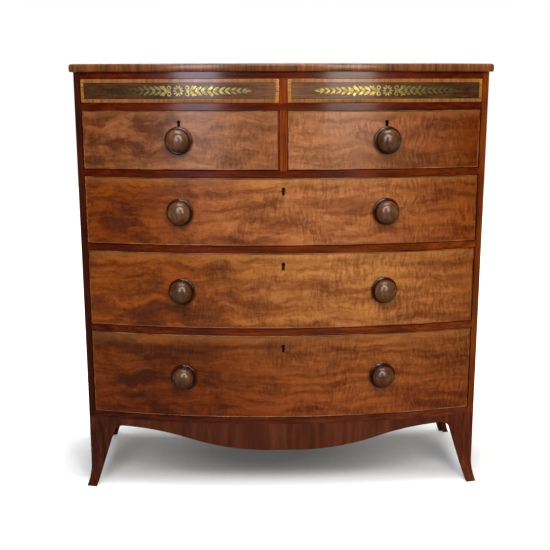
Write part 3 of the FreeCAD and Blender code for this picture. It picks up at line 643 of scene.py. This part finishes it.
apron_banding = crossbanded(
    "crossbanded_mahogany_apron", ["#481f0e", "#562814", "#66321c"], 0.085, 0.16, 2.0, 0.85, 60
)
edge_banding = crossbanded(
    "crossbanded_mahogany_top_edge", ["#4a2812", "#6c3e1c", "#86522a"], 0.034, 0.2, 7.0
)
satinwood_upright = crossbanded(
    "crossbanded_satinwood", ["#76461e", "#905a2a", "#a46a38"], 0.05, 0.07, 4.0, line=0.94
)
satinwood_level = polished_wood(
    "crossbanded_satinwood_ends", ["#8a5420", "#ae742c", "#c28c3c"], (8, 150, 170), blotch=0.3, coat=0.4
)
back_pine = crossbanded(
    "aged_pine_back", ["#8a6038", "#a87e50", "#bd9464"], 0.164, 0.1, 3.0, line=0.3, lines=50, coat=0.0,
    dull=0.35, uneven=0.0,
)
print("crossbanding:", 3, "woods, and the boarded back")

# %% [markdown]
# ## Rosewood, string, brass and iron
#
# The frieze drawers have a ground of rosewood, brown with a green cast and darker streaks, painted
# paler towards the chest's middle as a painted sheen. The inlay in it is sheet brass, rubbed dull by
# years of polish, so its roughness wanders, and darker towards the chest's left end, a painted shade.
# The locks are brass too, duller still, and their bolts are iron.

# %% Rosewood and dark string
# painted sheen: the rosewood is painted paler towards the chest's middle, standing in for the lamps' sheen on
# the frieze
rosewood = polished_wood(
    "polished_rosewood", ["#2e1d0e", "#4a2f18", "#5e4024"], (7, 90, 220), blotch=0.3, rough=0.38, coat=0.5,
    seed=6.0, faded_and_sheen_tones=["#64432a", "#785236", "#8a6242"], fade=(0.3, 0.02), both_ways=True,
)
ebony = polished_wood("ebony_string", ["#120a06", "#1c100a", "#2a180e"], (20, 150, 150), blotch=0.2, coat=0.2)
print("frieze woods:", 2)


# %% Brass and iron
def worn_metal(name, bright, dull, rough, metallic=1.0, patch=120.0, left_end_shade=1.0):
    """A metal with tarnish in patches: bright where it is rubbed, dull where it isn't, and darkened to
    this share at the chest's left end, a painted shade."""
    material, tree, surface, place = finish(name, Metallic=metallic)
    tarnish = noise(tree, place, patch, 4.0, 0.6)
    tone = ramp(tree, tarnish, (0.38, 0.68), (bright, dull))
    # painted shade: the colour is darkened towards the chest's left end, where the bowed brass reflects the
    # dark studio
    dimmed = scaled(tree, axis(tree, place, "X"), -0.38, -0.24, left_end_shade, 1.0)
    tone = mix(tree, 1.0, tone, dimmed, "MULTIPLY")
    gloss = scaled(tree, tarnish, 0.0, 1.0, rough - 0.12, rough + 0.15)
    dress(tree, surface, tone, gloss, noise(tree, place, 900.0, 2.0), 0.15, 0.1 * MM)
    return material


# painted shade: the inlay is darkened towards the chest's left end
inlay_brass = worn_metal("rubbed_brass_inlay", "#9e9052", "#645a30", 0.28, metallic=0.9, left_end_shade=0.35)
lock_brass = worn_metal("dull_brass_locks", "#927840", "#5a4a28", 0.5)
# painted shade: the sleeve is nearly black so that the inside of the keyhole reads as shade
liner_brass_painted_shade = worn_metal("brass_linings_painted_shade", "#443a28", "#201810", 0.55)
bolt_iron = worn_metal("dull_iron_bolts", "#6a6864", "#4a4642", 0.5)
print("metals:", 4)

# %% [markdown]
# ## Turned knobs' wood
#
# The knobs are turned from dark mahogany. Hands have worn their domes to a soft brown shine.
# The rims, the necks and the wall under the dome take a second, much darker finish, partly from
# the wax that gathers there and partly a painted shade where the dome keeps the lamps off them.

# %% Knob woods
TURNED = dict(stretch=(90, 90, 30), rough=0.4, pores=0.2, relief=0.05)
knob_wood = polished_wood(
    "turned_mahogany_domes", ["#4c2b10", "#684122", "#805838"], blotch=0.4, coat=1.0, shine=0.25, seed=8.0,
    **TURNED,
)
rim_wood_painted_shade = polished_wood(
    "turned_mahogany_rims_painted_shade", ["#220d05", "#341509", "#442010"], blotch=0.3, coat=0.9, shine=0.12, seed=8.5,
    **TURNED,
)
print("knob woods:", 2)

# %% [markdown]
# ## Finishes for the carcass
#
# The frame's own pieces keep their shape and take these finishes in their material slots. Grain
# follows the length of each board: rails run across, sides and dividers run up.

# %% Dress the carcass
CARCASS = {
    rail_mahogany: ["lower_rail", "middle_rail"],
    base_rail_mahogany: ["base_rail"],
    upper_rail_mahogany: ["upper_rail"],
    top_rail_mahogany: ["frieze_rail", "top_rail"],
    upright_mahogany: ["drawer_divider", "frieze_divider"],
    left_mahogany: ["side_left"],
    right_mahogany: ["side_right"],
    foot_mahogany: ["feet", "side_aprons"],
    apron_banding: ["apron"],
    dry_pine: ["bottom_board", "dustboards", "drawer_guides", "foot_blocks"],
    back_pine: ["backboards"],
    bottom_oak: ["drawer_runners", "drawer_stops"],
}
for wood, names in CARCASS.items():
    for name in names:
        nodes[name].material_slots[0].material = wood
for name, node in nodes.items():
    ending = name.rsplit("_", 1)[-1]
    plain = {"box": lining_oak, "bottom": bottom_oak, "lock": lock_brass, "bolt": bolt_iron}.get(ending)
    if plain:
        node.material_slots[0].material = plain
print("dressed", sum(len(names) for names in CARCASS.values()), "carcass pieces")

# %% [markdown]
# ## The bays
#
# Seven drawers fill the case: three long ones, two short ones above them, and two shallow ones in
# the frieze. Every front stands 1 mm inside its opening all round, which leaves the thin dark
# line that sets a drawer off from its rail.

# %% Bays
GAP = 1 * MM
ROWS = {
    "bottom": (204.5, 420.5), "middle": (436.5, 628.0), "top": (644.0, 810.5),
    "short": (826.5, 968.5), "frieze": (984.5, 1041.5),
}
SPANS = {"long": (-484, 484), "left": (-484, -9), "right": (9, 484)}
BAYS = {}
for row, (floor_z, top_z) in ROWS.items():
    if row in ("short", "frieze"):
        bays = {f"{row}_left": "left", f"{row}_right": "right"}
    else:
        bays = {f"long_{row}": "long"}
    for bay, span in bays.items():
        left, right = SPANS[span]
        BAYS[bay] = (left * MM + GAP, right * MM - GAP, floor_z * MM + GAP, top_z * MM - GAP)
print({bay: [round(side / MM, 1) for side in sides] for bay, sides in BAYS.items()})

# %% [markdown]
# ## The drawers' cores
#
# A veneered front is a thick core with a thin face glued on. The core is the frame's own front,
# with its dovetail sockets, its groove and its lock recess, so a copy of it is kept, and only its
# knobs are taken off. Its front is then pushed back by the 6 mm that the new face needs: scaling
# about the bow's axis moves every point straight in along its own radius.

# %% Cores
FACE_DEPTH = 6 * MM
WELD = 0.01 * MM
KNOB_CLEAR = 5 * MM
SKIN = 0.2 * MM
core_mahogany = polished_wood(
    "plain_mahogany_cores", ["#4a2412", "#683818", "#824c24"], (5, 60, 120), rough=0.55, coat=0.1, seed=4.4
)


def core(bay):
    """The frame's drawer front without its knobs, with room for a new face."""
    piece = twin(nodes[f"{bay}_front"], f"{bay}_core")
    edit(piece, "VERT")
    bpy.ops.mesh.customdata_custom_splitnormals_clear()
    bpy.ops.mesh.remove_doubles(threshold=WELD)
    choose(piece, "verts", lambda corner: reach(corner.co) > BOW_RADIUS + KNOB_CLEAR)
    bpy.ops.mesh.select_linked()
    bpy.ops.mesh.delete(type="VERT")
    choose(piece, "verts", lambda corner: reach(corner.co) > BOW_RADIUS - SKIN)
    inward = (BOW_RADIUS - FACE_DEPTH) / BOW_RADIUS
    bpy.ops.transform.resize(value=(inward, inward, 1), center_override=BOW_CENTRE)
    close(piece)
    piece.material_slots[0].material = core_mahogany
    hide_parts(f"{bay}_front")
    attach(piece, f"{bay}_drawer")
    return piece


cores = {bay: core(bay) for bay in BAYS}
print("cores", {bay: len(piece.data.polygons) for bay, piece in cores.items()})

# %% [markdown]
# ## Bowed faces
#
# A face is a slab that follows the bow. Its section, a small upright plane, is spun about the
# bow's axis like a door on a very long arm, and its two ends are then cut off square to the case,
# because the drawers' ends are parallel. This gives an even thickness all along, which bending a
# straight slab would not.

# %% Bowed slab
SPARE = 12 * MM


def bowed_slab(name, left, right, floor_z, top_z, inner, outer, steps):
    """A slab between two radii of the bow, cut off square at left and right."""
    first, last = math.asin((left - SPARE) / outer), math.asin((right + SPARE) / outer)
    middle = (inner + outer) / 2
    bpy.ops.object.select_all(action="DESELECT")
    bpy.ops.mesh.primitive_plane_add(
        size=1,
        location=(middle * math.sin(first), BOW_CENTRE.y - middle * math.cos(first), (floor_z + top_z) / 2),
        rotation=(0, math.pi / 2, first),
    )
    piece = settle(name, (top_z - floor_z, outer - inner, 1))
    edit(piece)
    bpy.ops.mesh.spin(steps=steps, angle=first - last, center=BOW_CENTRE, axis=(0, 0, 1))
    for x, side in ((left, "clear_inner"), (right, "clear_outer")):
        bpy.ops.mesh.select_all(action="SELECT")
        bpy.ops.mesh.bisect(plane_co=(x, 0, 0), plane_no=(1, 0, 0), use_fill=True, **{side: True})
    face_out()
    done()
    return piece


def outward(face):
    """How squarely a face looks out from the bow."""
    middle = face.calc_center_median()
    return face.normal.dot(Vector((middle.x, middle.y - BOW_CENTRE.y, 0)).normalized())


# %% [markdown]
# ## Veneered fronts with cockbeads
#
# A cockbead is a thin strip let in round the edge of a drawer, standing a little proud and
# rounded on its nose, to keep the veneer from chipping. Insetting the slab's face by the bead's
# width draws its four mitred strips at one stroke. The veneer between them is then pushed back,
# and the bead's edges are rounded with a bevel. Old fronts have shrunk, so the gap at the right
# end is left a little wider.

# %% Veneered fronts
BEAD = 2.6 * MM
PROUD = 1.2 * MM
EASE = 0.7 * MM
SHRUNK = 2.0 * MM
NOSE = 1.0 * MM
TOUCH = 0.02 * MM
SQUARE = 0.9
LONG_STEPS, SHORT_STEPS = 96, 48
bead_mahogany = polished_wood(
    "worn_mahogany_beads", ["#4a2410", "#7c4a20", "#a8743c"], (14, 60, 60), blotch=0.3, seed=9.1
)
VENEERS = {
    "long_bottom": dict(
        gold="#80400c", brown="#5c2a05", plum="#421c08", pale=("#a4622a", "#743c14"), seed=3.7, sheen_x=0.22,
        red=0.45,
    ),
    "long_middle": dict(
        gold="#964e12", brown="#6a3408", plum="#4e220e", pale=("#c08442", "#8e5426"), seed=8.3, sheen_x=0.16,
        red=0.2,
    ),
    "long_top": dict(
        gold="#8a440a", brown="#642e06", plum="#4e200c", pale=("#ba7c44", "#885028"), seed=14.9, sheen_x=0.07,
        red=0.2,
    ),
    "short_left": dict(
        gold="#844010", brown="#603008", plum="#50280e", pale=("#a46c42", "#80522e"), seed=24.6, sheen_x=-0.17
    ),
    "short_right": dict(
        gold="#763404", brown="#562402", plum="#4a1c08", pale=("#aa7044", "#82522e"), seed=27.5, sheen_x=0.05,
        cloudy=0.5,
    ),
}


def veneered_front(bay):
    """A bowed face with a bead round it, in two finishes."""
    left, right, floor_z, top_z = BAYS[bay]
    inner, outer = BOW_RADIUS - FACE_DEPTH, BOW_RADIUS + PROUD
    steps = LONG_STEPS if "long" in bay else SHORT_STEPS
    piece = bowed_slab(
        f"{bay}_face", left + EASE, right - SHRUNK, floor_z + EASE, top_z - EASE, inner, outer, steps
    )
    veneer = figured_veneer(f"figured_mahogany_{bay}", floor_z=floor_z, top_z=top_z, **VENEERS[bay])
    piece.data.materials.append(bead_mahogany)
    piece.data.materials.append(veneer)
    edit(piece)
    choose(piece, "faces", lambda face: outward(face) > SQUARE)
    bpy.ops.mesh.inset(thickness=BEAD, use_boundary=True)
    assign(piece, 1)
    bpy.ops.mesh.extrude_region_move(TRANSFORM_OT_translate={"value": (0, 0, 0)})
    inward = BOW_RADIUS / outer
    bpy.ops.transform.resize(value=(inward, inward, 1), center_override=BOW_CENTRE)
    choose(piece, "edges", sharp(lambda end: reach(end) > outer - TOUCH))
    bpy.ops.mesh.bevel(offset=NOSE, offset_type="OFFSET", segments=3, affect="EDGES")
    close(piece, 40)
    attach(piece, f"{bay}_drawer")
    return piece


faces = {bay: veneered_front(bay) for bay in VENEERS}
print("faces", {bay: len(piece.data.polygons) for bay, piece in faces.items()})

# %% [markdown]
# ## Frieze fronts
#
# The frieze drawers have no bead. Their rosewood ground lies in a frame of satinwood with its
# grain running outwards, mitred at the corners, and a dark string between the two. Two insets
# draw the frame and the string, and the faces get their woods by where they are.

# %% Frieze fronts
BAND = 8.5 * MM
STRING = 0.9 * MM
WORN_EDGE = 0.4 * MM


def frieze_front(bay):
    """A flush bowed face: banding, string and ground."""
    left, right, floor_z, top_z = BAYS[bay]
    inner = BOW_RADIUS - FACE_DEPTH
    piece = bowed_slab(f"{bay}_face", left, right, floor_z, top_z, inner, BOW_RADIUS, SHORT_STEPS)
    for wood in (satinwood_upright, satinwood_level, ebony, rosewood):
        piece.data.materials.append(wood)
    edit(piece)
    choose(piece, "faces", lambda face: outward(face) > SQUARE)
    bpy.ops.mesh.inset(thickness=BAND, use_boundary=True)
    assign(piece, 2)
    bpy.ops.mesh.inset(thickness=STRING, use_boundary=True)
    assign(piece, 3)
    near_end = (right - left) / 2 - BAND
    choose(
        piece,
        "faces",
        lambda face: face.material_index == 0
        and outward(face) > SQUARE
        and abs(face.calc_center_median().x - (left + right) / 2) > near_end,
    )
    assign(piece, 1)
    choose(piece, "edges", sharp(lambda end: reach(end) > BOW_RADIUS - MM))
    bpy.ops.mesh.bevel(offset=WORN_EDGE, offset_type="OFFSET", segments=2, affect="EDGES")
    close(piece, 40)
    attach(piece, f"{bay}_drawer")
    return piece


faces.update({bay: frieze_front(bay) for bay in ("frieze_left", "frieze_right")})
print("frieze faces", [len(faces[bay].data.polygons) for bay in ("frieze_left", "frieze_right")])

# %% [markdown]
# ## Keyholes
#
# Each lock is reached through a keyhole: a round head over a narrow slot, lined with a thin sleeve
# of brass that stands a hair proud. The sleeve is painted nearly black, a painted shade for the
# inside of the hole. One outline serves for both. A flat circle is made, and its lowest points are
# drawn down and straightened into the foot of the slot. Pushed deep it cuts the hole, and with its
# middle taken out it becomes the lining.

# %% Keyhole outline
HEAD, SLOT, FOOT = 3.9 * MM, 3.1 * MM, -9.2 * MM
HEAD_UP = 4.6 * MM
LINER, SLEEVE, LINER_PROUD = 0.8 * MM, 9 * MM, 0.25 * MM
CUT = 24 * MM
UPRIGHT = (math.pi / 2, 0, 0)


def keyhole_outline(name, grow=0.0):
    """A flat keyhole, upright and facing the front, around its own middle."""
    bpy.ops.object.select_all(action="DESELECT")
    bpy.ops.mesh.primitive_circle_add(
        vertices=32, radius=HEAD + grow, fill_type="NGON", location=(0, 0, HEAD_UP), rotation=UPRIGHT
    )
    piece = settle(name)
    edit(piece, "VERT")
    shoulder = HEAD_UP - math.sqrt(HEAD**2 - SLOT**2) - grow / 2
    choose(piece, "verts", lambda corner: corner.co.z < shoulder)
    bpy.ops.transform.resize(value=(1, 1, 0), center_override=(0, 0, FOOT - grow))
    done()
    return piece


cutter = keyhole_outline("keyhole_cutter")
edit(cutter)
bpy.ops.mesh.extrude_region_move(TRANSFORM_OT_translate={"value": (0, CUT, 0)})
face_out()
bpy.ops.transform.translate(value=(0, -CUT / 2, 0))
done()

liner = keyhole_outline("keyhole_liner", LINER)
edit(liner)
bpy.ops.mesh.inset(thickness=LINER)
bpy.ops.mesh.delete(type="FACE")
bpy.ops.mesh.select_all(action="SELECT")
bpy.ops.mesh.extrude_region_move(TRANSFORM_OT_translate={"value": (0, SLEEVE, 0)})
face_out()
bpy.ops.transform.translate(value=(0, -LINER_PROUD, 0))
close(liner)
liner.data.materials.append(liner_brass_painted_shade)
print("keyhole cutter", len(cutter.data.polygons), "faces, lining", len(liner.data.polygons))

# %% Cut the keyholes and let in their linings
KEYHOLE_DROP = 33 * MM
KNOB_SPREAD = 247 * MM
for bay in VENEERS:
    top_z = BAYS[bay][3]
    across = {"short_left": -KNOB_SPREAD, "short_right": KNOB_SPREAD}.get(bay, 0.0)
    place = Matrix.Translation((across, bow(across), top_z + GAP - KEYHOLE_DROP))
    middle = place @ Matrix.Rotation(facing(across), 4, "Z")
    hole = twin(cutter, "hole", middle)
    for board in (faces[bay], cores[bay]):
        modify(board, "BOOLEAN", object=hole, operation="DIFFERENCE", solver="EXACT")
    bpy.data.objects.remove(hole)
    lining = twin(liner, f"{bay}_keyhole", middle)
    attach(lining, f"{bay}_drawer")
for tool in (cutter, liner):
    bpy.data.objects.remove(tool)
print("keyholes cut:", len(VENEERS))

# %% [markdown]
# ## Knobs
#
# The knobs are turned on a lathe: a short neck, a rim like a coin, a fine quirk, a wall painted
# dark as shade and a rounded dome over it. A lathe is followed ring by ring. A disc the size of the
# neck is pushed out and scaled again and again until it reaches the crown, where the last ring
# closes in a point. In the profile, each ring has its distance from the drawer and its radius, in
# millimetres.

# %% Turn one knob
KNOB_PROFILE = [
    (-1.0, 17.0), (1.6, 17.0), (2.6, 16.4), (3.8, 16.2), (5.2, 18.5), (6.6, 24.5), (7.6, 29.0), (8.5, 31.2),
    (9.6, 32.6), (10.8, 33.0), (12.0, 32.8), (13.0, 32.0), (13.6, 30.8), (13.7, 29.2), (13.3, 27.8),
    (14.0, 27.2), (16.0, 27.3),
]
CROWN = 42.0
DOME_FOOT, DOME_RADIUS = 20.0, 27.8
RISE, SWELL = 0.94, 0.9  # both would be 1 on a plain ellipse
SHADE_TOP = 24.0
KNOB_CORNERS = 48
for step in (0, 8, 16, 24, 32, 40, 48, 56, 64, 72, 80, 86):
    angle = math.radians(step)
    height = DOME_FOOT + (CROWN - DOME_FOOT) * math.sin(angle) ** RISE
    KNOB_PROFILE.append((height, DOME_RADIUS * math.cos(angle) ** SWELL))

bpy.ops.object.select_all(action="DESELECT")
start, radius = KNOB_PROFILE[0]
bpy.ops.mesh.primitive_circle_add(
    vertices=KNOB_CORNERS, radius=radius * MM, fill_type="NGON", location=(0, 0, start * MM)
)
knob = settle("knob")
edit(knob)
for (height, radius), (next_height, next_radius) in zip(KNOB_PROFILE, KNOB_PROFILE[1:]):
    bpy.ops.mesh.extrude_region_move(TRANSFORM_OT_translate={"value": (0, 0, (next_height - height) * MM)})
    change = next_radius / radius
    bpy.ops.transform.resize(value=(change, change, 1), center_override=(0, 0, 0))
bpy.ops.mesh.extrude_region_move(TRANSFORM_OT_translate={"value": (0, 0, (CROWN - next_height) * MM)})
bpy.ops.mesh.merge(type="COLLAPSE")
close(knob, 50)
for wood in (knob_wood, rim_wood_painted_shade):
    knob.data.materials.append(wood)
edit(knob)
# painted shade: every face that reaches below this height, the neck, rim and the dome's lower wall, takes the
# dark rim finish
choose(knob, "faces", lambda face: any(corner.co.z < SHADE_TOP * MM for corner in face.verts))
assign(knob, 1)
done()
print("knob rings", len(KNOB_PROFILE), "faces", len(knob.data.polygons))

# %% Set the eight knobs
for bay in VENEERS:
    floor_z, top_z = BAYS[bay][2:]
    sides = {"short_left": [-1], "short_right": [1]}.get(bay, [-1, 1])
    for side in sides:
        x = side * KNOB_SPREAD
        turned = Euler((math.pi / 2, 0, facing(x))).to_matrix().to_4x4()
        place = Matrix.Translation((x, bow(x), (floor_z + top_z) / 2)) @ turned
        copy = twin(knob, f"{bay}_knob_{'left' if side < 0 else 'right'}", place)
        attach(copy, f"{bay}_drawer")
bpy.data.objects.remove(knob)
print("knobs set:", 8)

# %% [markdown]
# ## Brass inlay
#
# Each frieze panel carries a spray of laurel on either side of a rosette, cut from sheet brass.
# A few shapes make all of it: a pointed leaf, a petal, a bud, a knot, a curl like a ring, and a
# stem. Copies are set out flat, with the leaves in pairs that get smaller towards the tip. The
# spray is then laid on the bowed panel by shrinkwrapping it, and thickened into sheet metal that
# sinks into the wood.

# %% The shapes that are cut
def flat_disc(name, width, height, corners=12, fill="TRIFAN"):
    """A flat oval that faces the front."""
    bpy.ops.object.select_all(action="DESELECT")
    bpy.ops.mesh.primitive_circle_add(vertices=corners, radius=0.5, fill_type=fill, rotation=UPRIGHT)
    return settle(name, (width, height, 1))


LEAF_LENGTH, LEAF_WIDTH = 17 * MM, 6.6 * MM
RING, RING_WIDTH = 10.4 * MM, 2.7 * MM
leaf = flat_disc("leaf", LEAF_LENGTH, LEAF_WIDTH)
edit(leaf, "VERT")
choose(leaf, "verts", lambda corner: corner.co.x > LEAF_LENGTH * 0.4)
bpy.ops.transform.resize(value=(1.3, 1, 0.4), center_override=(0, 0, 0))
choose(leaf, "verts", lambda corner: corner.co.x < -LEAF_LENGTH * 0.4)
bpy.ops.transform.resize(value=(1.1, 1, 0.4), center_override=(0, 0, 0))
bpy.ops.mesh.select_all(action="SELECT")
bpy.ops.transform.translate(value=(LEAF_LENGTH * 0.55, 0, 0))
done()
petal = flat_disc("petal", 8.5 * MM, 4.2 * MM, 10)
bud = flat_disc("bud", 5.4 * MM, 3.4 * MM, 10)
knot = flat_disc("knot", 9 * MM, 5 * MM, 12)
stem = flat_disc("stem", 1.0, 1.6 * MM, 8)

scroll = flat_disc("scroll", RING, RING, 20, "NGON")
edit(scroll)
bpy.ops.mesh.inset(thickness=RING_WIDTH)
bpy.ops.mesh.delete(type="FACE")
done()
print("leaf", len(leaf.data.polygons), "faces, scroll", len(scroll.data.polygons))


# %% Set out the spray
LEAF_TIPS = [45, 58, 71, 84, 97, 111, 124, 137, 150, 162]
BUD_PLACES = [34, 79]
PETALS, ROSETTE = 10, 8.6
cuts = []


def lay(shape, x, z, degrees=0.0, size=1.0, flip=1, up=1):
    """Set a copy out at x, z, turned and scaled, mirrored sideways by flip and upside down by up."""
    sizes = size if isinstance(size, tuple) else (size, 1, size)
    place = (
        Matrix.Diagonal((flip, 1, up, 1))
        @ Matrix.Translation((x * MM, 0, z * MM))
        @ Matrix.Rotation(-math.radians(degrees), 4, "Y")
        @ Matrix.Diagonal((*sizes, 1))
    )
    cuts.append(twin(shape, "cut", place))


for number in range(PETALS):
    angle = math.tau * number / PETALS
    lay(petal, ROSETTE * math.cos(angle), ROSETTE * math.sin(angle), math.degrees(angle))
for flip in (-1, 1):
    lay(stem, 90, 0, size=(0.155, 1, 1), flip=flip)
    lay(knot, 22, 0, flip=flip)
    lay(leaf, 154, 0, size=0.98, flip=flip)
    for up in (-1, 1):
        lay(scroll, 21.5, 7.2, flip=flip, up=up)
        for x in BUD_PLACES:
            lay(bud, x, 10.6, 25, flip=flip, up=up)
        for number, tip in enumerate(LEAF_TIPS):
            size = 1.1 - 0.042 * number
            lay(leaf, tip - 20.4 * size * 0.87, 0, 31 - number * 0.6, size, flip, up)
spray = join(cuts, "spray")
print("spray", len(spray.data.polygons), "faces")

# %% Lay the sprays into the panels
SHEET, LIFT, AHEAD = 0.3 * MM, 0.1 * MM, 20 * MM
for bay in ("frieze_left", "frieze_right"):
    left, right, floor_z, top_z = BAYS[bay]
    middle = (left + right) / 2
    start = Matrix.Translation((middle, bow(middle) - AHEAD, (floor_z + top_z) / 2))
    inlay = twin(spray, f"{bay}_inlay", start)
    modify(
        inlay, "SHRINKWRAP", target=faces[bay], wrap_method="PROJECT", use_project_y=True,
        use_positive_direction=True, offset=LIFT,
    )
    edit(inlay)
    choose(inlay, "faces", lambda face: face.normal.y > 0)
    bpy.ops.mesh.flip_normals()
    done()
    modify(inlay, "SOLIDIFY", thickness=SHEET, offset=-1)
    heights = [round((reach(corner.co) - BOW_RADIUS) / MM, 2) for corner in inlay.data.vertices]
    print(bay, "inlay stands", min(heights), "to", max(heights), "mm proud of the bow")
    inlay.data.materials.append(inlay_brass)
    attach(inlay, f"{bay}_drawer")
for part in (spray, leaf, petal, bud, knot, stem, scroll):
    bpy.data.objects.remove(part)

# %% [markdown]
# ## The top
#
# The top board has the same bow as the case, 9 mm further out. A plain slab is cut to the curve
# by keeping only what it shares with a very large disc, and its edges are then rounded, more
# above than below, as a hand plane would leave them.

# %% Top board
TOP_LOW, TOP_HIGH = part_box("top_board")[0].z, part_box("top_board")[1].z
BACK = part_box("top_board")[1].y
FOREMOST = -0.25
OVERHANG = 9 * MM
ROUND_ABOVE, ROUND_BELOW = 6.5 * MM, 4 * MM
bpy.ops.object.select_all(action="DESELECT")
bpy.ops.mesh.primitive_cube_add(size=1, location=(0, (BACK + FOREMOST) / 2, (TOP_LOW + TOP_HIGH) / 2))
top = settle("top_slab", (2 * (HALF_CASE + OVERHANG), BACK - FOREMOST, TOP_HIGH - TOP_LOW))
bpy.ops.object.select_all(action="DESELECT")
bpy.ops.mesh.primitive_cylinder_add(
    vertices=1440, radius=BOW_RADIUS + OVERHANG, depth=1, location=BOW_CENTRE + Vector((0, 0, TOP_HIGH))
)
disc = settle("disc")
modify(top, "BOOLEAN", object=disc, operation="INTERSECT", solver="EXACT")
bpy.data.objects.remove(disc)
edit(top, "EDGE")
choose(top, "edges", sharp(lambda end: end.z > TOP_HIGH - MM))
bpy.ops.mesh.bevel(offset=ROUND_ABOVE, segments=5, affect="EDGES")
choose(top, "edges", sharp(lambda end: end.z < TOP_LOW + MM))
bpy.ops.mesh.bevel(offset=ROUND_BELOW, segments=3, affect="EDGES")
close(top, 40)
top_veneer = figured_veneer(
    "figured_mahogany_top", gold="#8a5228", brown="#683818", plum="#4c2414", pale=("#9a6234", "#744420"),
    seed=33.0, floor_z=-1, top_z=3, cloudy=0.5, tilt=3, flat=True,
)
top.data.materials.append(edge_banding)
top.data.materials.append(top_veneer)
edit(top)
choose(top, "faces", lambda face: abs(face.normal.z) > 0.98)
assign(top, 1)
done()
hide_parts("top_board")
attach(top, "carcass")
print("top", len(top.data.polygons), "faces")

# %% [markdown]
# ## Check and finish
#
# The dressed chest has to stay inside the frame's own box, so both boxes are written side by side.

# %% Sizes and finish
for name, (a, b) in {"frame": cad_box, "dressed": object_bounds()}.items():
    print(name, [round(v / MM, 2) for v in a], [round(v / MM, 2) for v in b])
